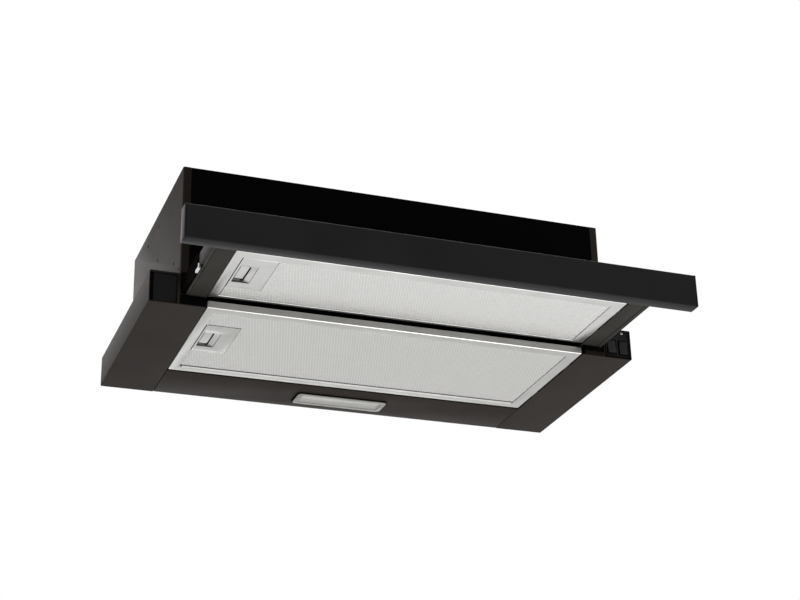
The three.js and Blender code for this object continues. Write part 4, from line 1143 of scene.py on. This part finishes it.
@dataclass
class GreaseFilter:
    """A cassette filter: rolled frame, expanded foil pad, finger cup and sliding latch.

    Attributes:
        prefix: the filter's body, and the start of its pieces' names.
        front: the front of its frame.
        rear: the rear of its frame.
        base: its underside, over the hood's.
        cup_front: the front of its finger cup.
        rims: widths of the frame's left, right, front and rear rims.
        seams: on which of these sides a trench shows between rim and foil.
        highlight_side: the side of the highlight painted along its edge, -1 for the front and 1 for the
            rear.
        metal: the frame's finish.
        strand: colour of the foil's strands.
        bead: front and rear of the half-round bead on the rear rim, if there is one.
    """

    prefix: str
    front: float
    rear: float
    base: float
    cup_front: float
    rims: tuple[float, float, float, float]
    seams: tuple[bool, bool, bool, bool]
    highlight_side: int
    metal: RolledMetal
    strand: Point
    bead: Optional[Span] = None
    left: float = -232
    right: float = 231.2
    thickness: float = 9
    foil: float = 0.8
    lip: float = 2
    lip_bend: float = 0.6
    back_rim: float = 14
    edge_round: float = 0.9
    tab_rows: Span = (0.25, 0.75)
    tab_half: float = 9
    tab_sides: Span = (-0.4, 5.8)
    tab_height: Span = (1.3, 2.1)
    cell: Span = (3.4, 12)
    strand_width: float = 1
    strand_rise: float = 0.3
    pit: float = 0.5
    sink: float = 0.5
    trench: float = 0.9
    bead_trench: float = 2.3
    bead_margins: Span = (3, 1)
    fold_depth: float = 2.6
    skirt: float = 8
    cup: tuple[float, float, float] = (-220, -180, 76)
    cup_margins: tuple[Span, Span] = ((-5, 0.6), (-1.2, 0.5))
    well: Span = (20.2, 62.6)
    ramp: Span = (-203.8, -196.9)
    ramp_height: Span = (1.5, 7)
    ramp_slope: float = 1.7
    thumb: tuple[Span, Span, Span] = ((-13.2, -3.4), (0.6, -11), (0.5, 1.3))
    thumb_rim: float = 1.4
    thumb_drop: float = 0.2
    bolt_relief: Span = (-5.2, 2)

    def build(self) -> None:
        """Builds the filter's pieces."""
        self.frame()
        self.pad()
        self.pressing()
        self.bolt()

    def pressing(self) -> None:
        """Presses the finger cup with its ramp, and adds the thumb plate that rides on the latch."""
        piece = copy_of(f"{self.prefix}_cup", f"{self.prefix}_pressing")
        foot, top = (self.base + height for height in self.ramp_height)
        start, end = (self.cup_front + y for y in self.well)
        ramp = new_block("ramp", self.ramp, (start, end), (foot, top))
        with editing(ramp):
            pick(ramp, Part.EDGE, lambda e: abs(middle(e).x - mm(self.ramp[0])) < NEAR
                 and abs(middle(e).z - level(foot)) < NEAR)
            shift(z=mm(self.ramp_slope))
        fuse(piece, ramp)
        complete(piece, Edges(0.3), self.prefix, self.metal, f"{self.prefix}_cup")
        # Painted shade: the well's floor and walls are darkened, but not the ramp's slope.
        tint(piece, STEEL_AND_PAINTED_SHADE, lambda f: middle(f).z > level(foot)
             and not (f.normal.z < -0.3 and middle(f).x > mm(self.ramp[0])))
        x, y, z = self.thumb
        thumb = new_block(f"{self.prefix}_thumb_plate", (self.ramp[0] + x[0], self.ramp[0] + x[1]),
                          (start + y[0], end + y[1]), (self.base + z[0], self.base + z[1]))
        with editing(thumb):
            pick(thumb, Part.FACE, lambda f: f.normal.z < -0.9)
            bpy.ops.mesh.inset(thickness=mm(self.thumb_rim))
            shift(z=-mm(self.thumb_drop))
        complete(thumb, Edges(0.2), f"{self.prefix}_latch", self.metal)

    def bolt(self) -> None:
        """Rounds the latch, cut back at its inner end so that it clears the cup's ramp."""
        piece = copy_of(f"{self.prefix}_latch", f"{self.prefix}_bolt")
        start, end = (self.ramp[0] + x for x in self.bolt_relief)
        carve(piece, new_block("relief", (start, end), (self.cup_front, self.cup_front + self.cup[2]),
                               (self.base, self.base + 5)))
        complete(piece, Edges(0.3), f"{self.prefix}_latch", STEEL_AND_PAINTED_SHADE, f"{self.prefix}_latch")

    def rolled_skin(self, low: Vector, high: Vector) -> Piece:
        """Rolls the frame's skin: a flat ring whose walls are drawn up, turned in and rounded.

        Args:
            low: the frame's front left corner at its underside.
            high: its rear right corner at its top.

        Returns:
            The skin, which has no thickness yet.
        """
        centre = (low + high) / 2
        width, length = high.x - low.x, high.y - low.y
        deselect()
        bpy.ops.mesh.primitive_plane_add(size=1, location=(centre.x, centre.y, low.z))
        piece = bpy.context.object
        piece.name = f"{self.prefix}_rolled_frame"
        piece.scale = (width, length, 1)
        fix_place()

        def outside(*corners: bmesh.types.BMVert) -> bool:
            """Tells whether all of these corners are on the frame's outline."""
            return all(min(abs(corner.co[axis] - limit[axis]) for axis in (0, 1)
                           for limit in (low, high)) < NEAR for corner in corners)

        def inner(edge: bmesh.types.BMEdge, faces: int) -> bool:
            """Tells whether an edge is at the foot of the window's rim and has this many faces."""
            return (len(edge.link_faces) == faces and not any(outside(corner) for corner in edge.verts)
                    and all(abs(corner.co.z - low.z) < NEAR for corner in edge.verts))

        narrow = min(self.rims)
        with editing(piece):
            pick_all()
            bpy.ops.mesh.inset(thickness=mm(narrow))
            bpy.ops.mesh.delete(type="ONLY_FACE")
            for (axis, side), rim in zip(((0, -1), (0, 1), (1, -1), (1, 1)), self.rims):
                edge = (high if side > 0 else low)[axis]
                pick(piece, Part.CORNER,
                     lambda v: not outside(v) and abs(v.co[axis] - edge) < mm(narrow + 1))
                move = [0, 0, 0]
                move[axis] = -side * mm(rim - narrow)
                shift(*move)
            pick(piece, Part.EDGE, lambda e: outside(*e.verts) and len(e.link_faces) == 1)
            draw_edges((0, 0, mm(self.thickness)))
            draw_edges()
            turned_in = 2 * mm(self.back_rim)
            bpy.ops.transform.resize(value=(1 - turned_in / width, 1 - turned_in / length, 1),
                                     center_override=(centre.x, centre.y, high.z))
            pick(piece, Part.EDGE, lambda e: inner(e, 1))
            draw_edges((0, 0, mm(self.lip)))
            pick(piece, Part.EDGE, lambda e: inner(e, 2))
            round_edges(self.lip_bend, 3)
            pick(piece, Part.EDGE, lambda e: len(e.link_faces) == 2 and outside(*e.verts)
                 and e.calc_face_angle(0) > 1)
            round_edges(self.edge_round, 4)
            face_outwards()
        return piece

    def frame(self) -> None:
        """Rolls the frame with its gauge and tabs, and paints shade and a highlight on it."""
        low = place(self.left, self.front, self.base)
        high = place(self.right, self.rear, self.base + self.thickness)
        piece = self.rolled_skin(low, high)
        flat = min(piece.data.polygons, key=lambda face: face.center.z)
        apply(piece, "SOLIDIFY", thickness=mm(self.foil), offset=-1 if flat.normal.z < 0 else 1,
              use_even_offset=True)
        with editing(piece):
            face_outwards()
        self.tabs(piece)
        smooth(piece, 40)
        hand_over(piece, self.prefix, self.metal, f"{self.prefix}_frame")
        side = self.highlight_side
        edge = high.y if side > 0 else low.y
        # Painted shade: the front wall is darkened.
        tint(piece, PAINTED_SHADE_WALL, lambda f: f.normal.y < -0.9 and middle(f).y < low.y + mm(0.2))
        # Painted highlight: the rounded edge on the highlight's side is made bright.
        tint(piece, PAINTED_HIGHLIGHT_METAL, lambda f: f.normal.z < -0.1 and f.normal.y * side > 0.1
             and abs(middle(f).y - edge) < mm(2))
        if self.bead:
            self.retainer()

    def retainer(self) -> None:
        """Lays the half-round bead that holds the foil, with a painted highlight and shadow, along the
        rear rim.
        """
        (left_rim, right_rim), (left_margin, right_margin) = self.rims[:2], self.bead_margins
        radius = (self.bead[1] - self.bead[0]) / 2
        ends = (self.left + left_rim + left_margin, self.right - right_rim - right_margin)
        centre = (sum(self.bead) / 2, self.base + radius)
        piece = new_rod(f"{self.prefix}_bead", Axis.X, radius, ends, centre, 28)
        with editing(piece):
            pick(piece, Part.FACE, lambda f: abs(f.normal.x) > 0.9)
            round_edges(0.8, 3)
            pick_all()
            bpy.ops.mesh.bisect(plane_co=place(0, *centre), plane_no=Axis.Z.value, clear_outer=True,
                                use_fill=True)
        smooth(piece)
        # Painted highlight on the bead, and painted shadow on its front-facing side.
        hand_over(piece, self.prefix, PAINTED_HIGHLIGHT_METAL)
        tint(piece, STEEL_AND_PAINTED_SHADE, lambda f: f.normal.y < -0.6)

    def tabs(self, piece: Piece) -> None:
        """Adds the two hook tabs on the right-hand wall of the frame.

        Args:
            piece: the frame.
        """
        height = (self.base + self.tab_height[0], self.base + self.tab_height[1])
        for share in self.tab_rows:
            y = self.front + (self.rear - self.front) * share
            root, tip = (self.right + reach for reach in self.tab_sides)
            tab = new_block("tab", (root, tip), (y - self.tab_half, y + self.tab_half), height)
            with editing(tab):
                pick(tab, Part.EDGE, lambda e: abs(e.verts[0].co.z - e.verts[1].co.z) > mm(0.5)
                     and middle(e).x > mm(self.right + 3))
                round_edges(2, 4)
            fuse(piece, tab)

    def mesh_cell(self) -> Piece:
        """Makes one diamond of the expanded foil: half-strands round an opening over the next layer."""
        deselect()
        bpy.ops.mesh.primitive_circle_add(vertices=4, radius=mm(0.5), fill_type="NGON")
        piece = bpy.context.object
        piece.name = f"{self.prefix}_foil_pad"
        piece.scale = (*self.cell, 1)
        fix_place()
        with editing(piece):
            pick_all()
            bpy.ops.mesh.inset(thickness=mm(self.strand_width / 2))
            shift(z=mm(self.strand_rise))
            draw_faces((0, 0, mm(self.pit - self.strand_rise)))
            bpy.ops.transform.resize(value=(0.9, 0.9, 1))
        return piece

    def window(self) -> tuple[Span, Span]:
        """Returns the foil's extent in x and in y, inside the rims and their trenches."""
        left, right, front, rear = (
            rim + (self.trench if seam else 0.1) for rim, seam in zip(self.rims, self.seams))
        rear_edge = self.bead[0] - self.bead_trench if self.bead else self.rear - rear
        return (self.left + left, self.right - right), (self.front + front, rear_edge)

    def pad(self) -> None:
        """Lays the foil, folds its edges back, mirrors it for the upper side and hands it over."""
        window = self.window()
        half_height = self.thickness / 2 - self.sink
        piece = self.mesh_cell()
        for axis in (0, 1):
            step = [0, 0, 0]
            step[axis] = mm(self.cell[axis])
            low, high = window[axis]
            apply(piece, "ARRAY", count=int((high - low) // self.cell[axis]) + 2,
                  use_relative_offset=False, use_constant_offset=True, constant_offset_displace=step)
        with editing(piece):
            self.trim_foil(piece, window, half_height)
            self.fold_foil(piece, window, half_height)
        apply(piece, "MIRROR", use_axis=(False, False, True), use_mirror_merge=True,
              merge_threshold=mm(0.02))
        with editing(piece):
            face_outwards()
            shift(z=level(self.base + self.thickness / 2))
        # Painted shade: the openings' floor at 0.9 and the trench at 0.3 of the strands' colour.
        shade, seam = (tuple(value * share for value in self.strand) for share in (0.9, 0.3))
        foil = ExpandedFoil(f"{self.prefix}_foil", "mesh_aluminium", self.strand, shade, seam,
                            self.base + self.thickness / 2, half_height, self.pit, self.fold_depth)
        hand_over(piece, self.prefix, foil, f"{self.prefix}_mesh")

    def trim_foil(self, piece: Piece, window: tuple[Span, Span], half_height: float) -> None:
        """Fills in the second set of cells, and cuts the open mesh to the window and round the cup.

        Args:
            piece: the foil, open in edit mode.
            window: its extent in x and in y.
            half_height: half the pad's thickness.
        """
        x, y = window
        pick_all()
        half_cell = (mm(self.cell[0] / 2), mm(self.cell[1] / 2), 0)
        bpy.ops.mesh.duplicate_move(TRANSFORM_OT_translate={"value": half_cell})
        pick_all()
        shift(mm(x[0]), mm(y[0]), -mm(half_height))
        bpy.ops.mesh.remove_doubles(threshold=mm(0.05))
        for value, normal in ((x[0], (-1, 0, 0)), (x[1], (1, 0, 0)),
                              (y[0], (0, -1, 0)), (y[1], (0, 1, 0))):
            self.cut(value, normal, True)
        left, right, length = self.cup
        (left_margin, right_margin), (front_margin, rear_margin) = self.cup_margins
        left, right = left + left_margin, right + right_margin
        front, rear = self.cup_front + front_margin, self.cup_front + length + rear_margin
        for value, normal in ((right, (1, 0, 0)), (front, (0, 1, 0)), (rear, (0, 1, 0))):
            self.cut(value, normal, False)
        pick(piece, Part.FACE, lambda f: mm(left) < middle(f).x < mm(right)
             and mm(front) < middle(f).y < mm(rear))
        bpy.ops.mesh.delete(type="FACE")

    def fold_foil(self, piece: Piece, window: tuple[Span, Span], half_height: float) -> None:
        """Folds the foil's open edges back, then out under the rims, then to the pad's middle.

        Args:
            piece: the foil, open in edit mode.
            window: its extent in x and in y.
            half_height: half the pad's thickness.
        """
        (left, right), (front, rear) = window
        centre = Vector((mm(left + right) / 2, mm(front + rear) / 2, 0))
        size = Vector((mm(right - left), mm(rear - front), 1))
        folded = mm(self.fold_depth - half_height)
        pick(piece, Part.EDGE, lambda e: len(e.link_faces) == 1)
        draw_edges()
        bpy.ops.transform.resize(value=(1, 1, 0), center_override=(0, 0, folded))
        pick(piece, Part.EDGE, lambda e: len(e.link_faces) == 1 and any(
            abs(abs(middle(e)[i] - centre[i]) - size[i] / 2) < NEAR for i in (0, 1)))
        draw_edges()
        rear_skirt = min(self.skirt, self.rims[3] - 2)
        stretch = (1 + mm(2 * self.skirt) / size.x, 1 + mm(2 * rear_skirt) / size.y, 1)
        bpy.ops.transform.resize(value=stretch, center_override=centre + Vector((0, 0, folded)))
        pick(piece, Part.EDGE, lambda e: len(e.link_faces) == 1)
        draw_edges()
        bpy.ops.transform.resize(value=(1, 1, 0), center_override=(0, 0, 0))

    def cut(self, value: float, normal: Point, trim: bool) -> None:
        """Cuts the open mesh along a plane across an axis, and trims what lies beyond it."""
        pick_all()
        point = Vector(normal) * mm(value) * (1 if sum(normal) > 0 else -1)
        bpy.ops.mesh.bisect(plane_co=point, plane_no=normal, clear_outer=trim, threshold=mm(0.01))


# ---- Lamp, slides, outlet, blower and electrics -------------------------------------------------


@dataclass
class Lamp:
    """The lamp under the rear strip."""

    proud: float = 2.2
    lens_margin: float = 1.6
    lens_step: float = 0.5
    gasket: tuple[Span, Span] = ((-58.5, 61.4), (218.2, 254))
    gasket_hole: tuple[Span, Span] = ((-57.06, 61.06), (219.64, 253.76))
    gasket_corners: Span = (5.6, 5)

    def build(self) -> None:
        """Builds the lamp's frame, diffuser and gasket, whose black is also painted shade, and dresses
        its board and driver.
        """
        bezel = copy_of("lamp_frame", "lamp_bezel")
        with editing(bezel):
            pick(bezel, Part.CORNER, lambda v: v.co.z < level(1))
            shift(z=-mm(self.proud))
        complete(bezel, Edges(0.6, 3), "hood_body", WHITE_MOULDING, "lamp_frame")
        lens = copy_of("lamp_lens", "lamp_diffuser")
        with editing(lens):
            pick_all()
            shift(z=-mm(self.proud))
            pick(lens, Part.FACE, lambda f: f.normal.z < -0.9)
            bpy.ops.mesh.inset(thickness=mm(self.lens_margin))
            draw_faces((0, 0, mm(self.lens_step)))
        complete(lens, Edges(0.25), "hood_body", LENS, "lamp_lens")
        # A black gasket round the frame; its black also stands in for the shadow line round the lamp.
        outer, inner = self.gasket_corners
        gasket = rounded_block("lamp_ring_and_painted_shade", *self.gasket, (0.7 - self.proud, 1.25), outer)
        carve(gasket, rounded_block("inside", *self.gasket_hole, (-9, 9), inner))
        smooth(gasket)
        hand_over(gasket, "hood_body", BLACK_RUBBER_AND_SHADE)
        dress("led_board", BOARD)
        refine("lamp_driver", "driver_case", "hood_body", BLACK_MOULDING, Edges(0.8, 3))


@dataclass
class Slides:
    """The telescopic slides on both sides."""

    painted_shadow_from: float = -22
    inner_rows: Span = (-144, 54)
    inner_sides: Span = (254.5, 259.5)
    inner_height: Span = (18.7, 31.3)
    foot_sides: Span = (254.5, 255.8)
    foot_height: Span = (14.4, 19.5)
    stop: tuple[Span, Span, Span] = ((-261, -258.6), (-73.6, -59.6), (12.2, 15.2))
    tongue: tuple[Span, Span, Span] = ((-261, -258.8), (-73.6, -70.9), (14.8, 18.4))

    def build(self) -> None:
        """Builds the three members of each slide with rounded folds, and the left one's end stop."""
        for side, sign in (("left", -1), ("right", 1)):
            refine(f"{side}_slide_outer", f"{side}_outer_rail", "hood_body", OUTER_RAIL, Edges(0.45))
            rail = copy_of(f"{side}_slide_middle", f"{side}_middle_rail")
            # Painted shadow: behind this row the middle rail is near black, as it runs into shade
            # inside the hood.
            score(rail, (0, self.painted_shadow_from, 0), Axis.Y)
            complete(rail, Edges(0.45), f"{side}_slide_middle", MIDDLE_RAIL, f"{side}_slide_middle")
            tint(rail, PAINTED_SHADOW_RAIL, lambda f: middle(f).y > mm(self.painted_shadow_from))
            inner = new_block(f"{side}_inner_rail", beside(sign, *self.inner_sides), self.inner_rows,
                              self.inner_height)
            fuse(inner, new_block("foot", beside(sign, *self.foot_sides), self.inner_rows,
                                  self.foot_height))
            complete(inner, Edges(0.5, 3), "drawer", PAINTED_LIGHT_RAIL_COAT, f"{side}_slide_inner")
            # Painted light: the inner rail's undersides are made lighter, as light falls on them from
            # below.
            tint(inner, PAINTED_LIGHT_UNDERSIDE, lambda f: f.normal.z < -0.5)
        stop = new_block("left_end_stop", *self.stop)
        fuse(stop, new_block("tongue", *self.tongue))
        complete(stop, Edges(0.6, 3), "left_slide_middle", ZINC)


@dataclass
class Outlet:
    """The duct collar with its non-return flaps."""

    def build(self) -> None:
        """Builds the collar and the flaps, and dresses the pin."""
        refine("outlet_collar", "duct_collar", "hood_body", BLACK_MOULDING, Edges(0.5))
        for name in ("front_flap", "rear_flap"):
            refine(name, f"{name}_moulding", name, BLACK_MOULDING, Edges(0.3))
        dress("flap_pin", ZINC)


@dataclass
class Blower:
    """The double inlet blower and its motor."""

    def build(self) -> None:
        """Builds the housing with rounded edges and dresses what turns in it."""
        for side in ("left", "right"):
            refine(f"scroll_{side}", f"{side}_scroll_moulding", "hood_body", BLACK_MOULDING, Edges(0.5))
        dress("impeller", GREY_MOULDING)
        for node in ("motor", "motor_shaft", "motor_bracket"):
            dress(node, ZINC)


@dataclass
class Electrics:
    """The run capacitor, and the terminal box with its gland."""

    def build(self) -> None:
        """Builds the cases with rounded edges."""
        refine("capacitor", "capacitor_can", "hood_body", WHITE_MOULDING, Edges(1, 3))
        dress("capacitor_clip", ZINC)
        for node in ("terminal_box", "terminal_lid"):
            refine(node, f"{node}_moulding", "hood_body", BLACK_MOULDING, Edges(0.6))
        refine("cable_gland", "gland_moulding", "hood_body", BLACK_MOULDING, Edges(0.5))


@dataclass
class Screws:
    """Cross-recess screws, modelled once and copied to their places."""

    radius: float = 2.7
    height: float = 1.9
    crown: float = 1.2
    recess: float = 1
    cross: Span = (0.62, 0.15)
    wing_column: float = 281.5
    wing_rows: tuple[float, ...] = (38, 134, 230)
    wing_top: float = 38.6
    lid_column: float = 255
    lid_rows: tuple[float, ...] = (60, 206)
    lid_top: float = 175
    collar_centre: float = 140
    collar_ring: float = 68
    collar_top: float = 177.3
    plate_spot: Point = (288.6, 2.7, 35)
    plate_size: float = 0.7

    def master(self) -> Piece:
        """Models one screw head at the origin, with its cross recess."""
        base = -UNDERSIDE
        top = base + self.height
        piece = new_rod("screw", Axis.Z, self.radius, (base, top), (0, 0), 24)
        with editing(piece):
            pick(piece, Part.EDGE, lambda e: all(v.co.z > mm(self.height) - 1e-5 for v in e.verts))
            round_edges(self.crown, 3)
        arm, half = (self.radius * share for share in self.cross)
        depth = (top - self.recess, top + 1)
        carve(piece, new_block("slit", (-arm, arm), (-half, half), depth),
              new_block("slit", (-half, half), (-arm, arm), depth))
        smooth(piece)
        return piece

    def drive(self, master: Piece, name: str, spot: Point, facing: Point, finish: Finish,
              size: float = 1) -> None:
        """Copies the screw to a spot, turned the way it faces.

        Args:
            master: the screw at the origin.
            name: the copy's name.
            spot: the middle of its seat, in millimetres over the underside.
            facing: the way its head faces.
            finish: its finish.
            size: its size, as a share of the master's.
        """
        take(master)
        bpy.ops.object.duplicate(linked=False)
        piece = bpy.context.object
        piece.name = name
        piece.rotation_euler = Vector(facing).to_track_quat("Z", "Y").to_euler()
        piece.location = place(*spot)
        piece.scale = (size, size, size)
        fix_place()
        hand_over(piece, "hood_body", finish)

    def build(self) -> None:
        """Drives the screws of the wings, the lid, the collar and the switch plate."""
        master = self.master()
        up, forwards = (0, 0, 1), (0, -1, 0)
        for sign, side in ((-1, "left"), (1, "right")):
            for number, y in enumerate(self.wing_rows):
                spot = (sign * self.wing_column, y, self.wing_top)
                self.drive(master, f"{side}_wing_screw_{number}", spot, up, SCREW_ZINC)
            for number, y in enumerate(self.lid_rows):
                spot = (sign * self.lid_column, y, self.lid_top)
                self.drive(master, f"{side}_lid_screw_{number}", spot, up, BLACK_SCREW)
        for number in range(4):
            angle = math.radians(45 + 90 * number)
            spot = (self.collar_ring * math.cos(angle),
                    self.collar_centre + self.collar_ring * math.sin(angle), self.collar_top)
            self.drive(master, f"collar_screw_{number}", spot, up, SCREW_ZINC)
        self.drive(master, "switch_plate_screw", self.plate_spot, forwards, SCREW_ZINC, self.plate_size)
        bpy.data.objects.remove(master)


# ---- Studio -------------------------------------------------------------------------------------


@dataclass(frozen=True)
class SoftLamp:
    """A soft square lamp.

    Attributes:
        name: its name.
        where: its place, in metres.
        aim: the point that it faces.
        size: its side, in metres.
        power: its power in watts.
    """

    name: str
    where: Point
    aim: Point
    size: float
    power: float

    def hang(self) -> None:
        """Adds the lamp to the scene."""
        bpy.ops.object.light_add(type="AREA", location=self.where)
        lamp = bpy.context.object
        lamp.name = f"{self.name}_light"
        lamp.data.size = self.size
        lamp.data.energy = self.power
        view = Vector(self.aim) - Vector(self.where)
        lamp.rotation_euler = view.to_track_quat("-Z", "Y").to_euler()


@dataclass
class Studio:
    """The floor, the lamps, the white surroundings and the camera."""

    eye: Point = (-0.66147, -1.74877, -0.84123)
    azimuth: float = -20.69
    elevation: float = -24.28
    roll: float = -1.42
    lens: float = 78.68
    sensor: float = 36
    ambient: float = 0.18
    floor_level: float = -3
    floor_radius: float = 14
    lamps: tuple[SoftLamp, ...] = (
        SoftLamp("side", (-2.6, -0.15, -0.35), (-0.2, 0, 0), 1.5, 30),
        SoftLamp("under", (0.6, -1.1, -1.2), (0.1, 0, 0), 1.4, 21),
        SoftLamp("right", (2.4, -0.2, 0.5), (0.2, 0.1, 0), 1.6, 12),
        SoftLamp("top", (0.6, 0.8, 2.4), (0, 0.1, 0), 2, 34),
        SoftLamp("back", (0.3, 2.6, 0.4), (0, 0.1, 0), 1.8, 24),
    )

    def build(self) -> None:
        """Sets everything up."""
        bpy.context.scene.view_settings.view_transform = "Standard"
        self.floor()
        self.surroundings()
        for lamp in self.lamps:
            lamp.hang()
        self.camera()

    def mix_when_seen(self, tree: bpy.types.NodeTree, lit: bpy.types.Node, seen: bpy.types.Node,
                      out: bpy.types.Node) -> None:
        """Shows one shader where a surface is seen or mirrored, and another where it only lights.

        Args:
            tree: the node tree.
            lit: the shader that gives the light.
            seen: the shader that the camera, gloss and glass show.
            out: the output node.
        """
        path = tree.nodes.new("ShaderNodeLightPath")
        share = path.outputs["Is Camera Ray"]
        for ray in ("Is Glossy Ray", "Is Transmission Ray"):
            either = tree.nodes.new("ShaderNodeMath")
            either.operation = "MAXIMUM"
            tree.links.new(share, either.inputs[0])
            tree.links.new(path.outputs[ray], either.inputs[1])
            share = either.outputs[0]
        mix = tree.nodes.new("ShaderNodeMixShader")
        tree.links.new(share, mix.inputs["Fac"])
        tree.links.new(lit.outputs[0], mix.inputs[1])
        tree.links.new(seen.outputs[0], mix.inputs[2])
        tree.links.new(mix.outputs[0], out.inputs["Surface"])

    def floor(self) -> None:
        """Lays a plain pale floor far below the hood, as it hangs in the open."""
        deselect()
        bpy.ops.mesh.primitive_circle_add(vertices=96, radius=self.floor_radius, fill_type="NGON",
                                          location=(0, 0, self.floor_level))
        floor = bpy.context.object
        floor.name = "studio_floor"
        material = bpy.data.materials.new("pale_floor")
        material.use_nodes = True
        nodes = material.node_tree.nodes
        shader = nodes["Principled BSDF"]
        shader.inputs["Base Color"].default_value = (0.85, 0.85, 0.85, 1)
        shader.inputs["Roughness"].default_value = 0.9
        self.mix_when_seen(material.node_tree, shader, nodes.new("ShaderNodeEmission"),
                           nodes["Material Output"])
        floor.data.materials.append(material)

    def surroundings(self) -> None:
        """Makes the world white where it is seen or mirrored, and a soft grey where it lights."""
        world = bpy.data.worlds.new("studio")
        bpy.context.scene.world = world
        world.use_nodes = True
        nodes = world.node_tree.nodes
        nodes.clear()
        soft, white = nodes.new("ShaderNodeBackground"), nodes.new("ShaderNodeBackground")
        soft.inputs["Color"].default_value = (1, 0.99, 0.97, 1)
        soft.inputs["Strength"].default_value = self.ambient
        white.inputs["Color"].default_value = (1, 1, 1, 1)
        white.inputs["Strength"].default_value = 1
        self.mix_when_seen(world.node_tree, soft, white, nodes.new("ShaderNodeOutputWorld"))

    def camera(self) -> None:
        """Stands the camera where the photograph was taken from."""
        turn, tilt, lean = (math.radians(angle) for angle in (self.azimuth, self.elevation, self.roll))
        back = Vector((math.sin(turn) * math.cos(tilt), -math.cos(turn) * math.cos(tilt),
                       math.sin(tilt)))
        right = Vector((0, 0, 1)).cross(back).normalized()
        up = back.cross(right)
        leaned_right = math.cos(lean) * right + math.sin(lean) * up
        leaned_up = math.cos(lean) * up - math.sin(lean) * right
        view = Matrix((leaned_right, leaned_up, back)).transposed().to_4x4()
        view.translation = Vector(self.eye)
        bpy.ops.object.camera_add()
        camera = bpy.context.object
        camera.matrix_world = view
        camera.data.lens = self.lens
        camera.data.sensor_width = self.sensor
        bpy.context.scene.camera = camera


def main() -> None:
    """Builds the hood's looks, sub-assembly by sub-assembly, and the studio round it."""
    logging.basicConfig(level=logging.INFO, format="%(message)s")
    Studio().build()
    fixed_filter = GreaseFilter(
        prefix="fixed_filter", front=-0.7, rear=190.7, base=0, cup_front=48.3,
        rims=(11, 14, 14, 10.5), seams=(False, True, False, True), highlight_side=-1,
        metal=FILTER_ALUMINIUM, strand=(0.64, 0.637, 0.621), bead=(175.8, 179.2))
    # The drawer filter is the same aluminium as the fixed one; its lighter frame and strands are
    # painted light.
    drawer_filter = GreaseFilter(
        prefix="drawer_filter", front=-123.4, rear=-1.9, base=13.5, cup_front=-108.8,
        rims=(11, 14, 14, 5), seams=(True, True, False, True), highlight_side=1,
        metal=PAINTED_LIGHT_ALUMINIUM, strand=(0.78, 0.776, 0.761))
    sub_assemblies = (
        UpperBody(), LowerBody(), Switches(), Drawer(), fixed_filter, drawer_filter,
        Lamp(), Slides(), Outlet(), Blower(), Electrics(), Screws(),
    )
    for sub_assembly in sub_assemblies:
        sub_assembly.build()


if __name__ == "__main__":
    main()
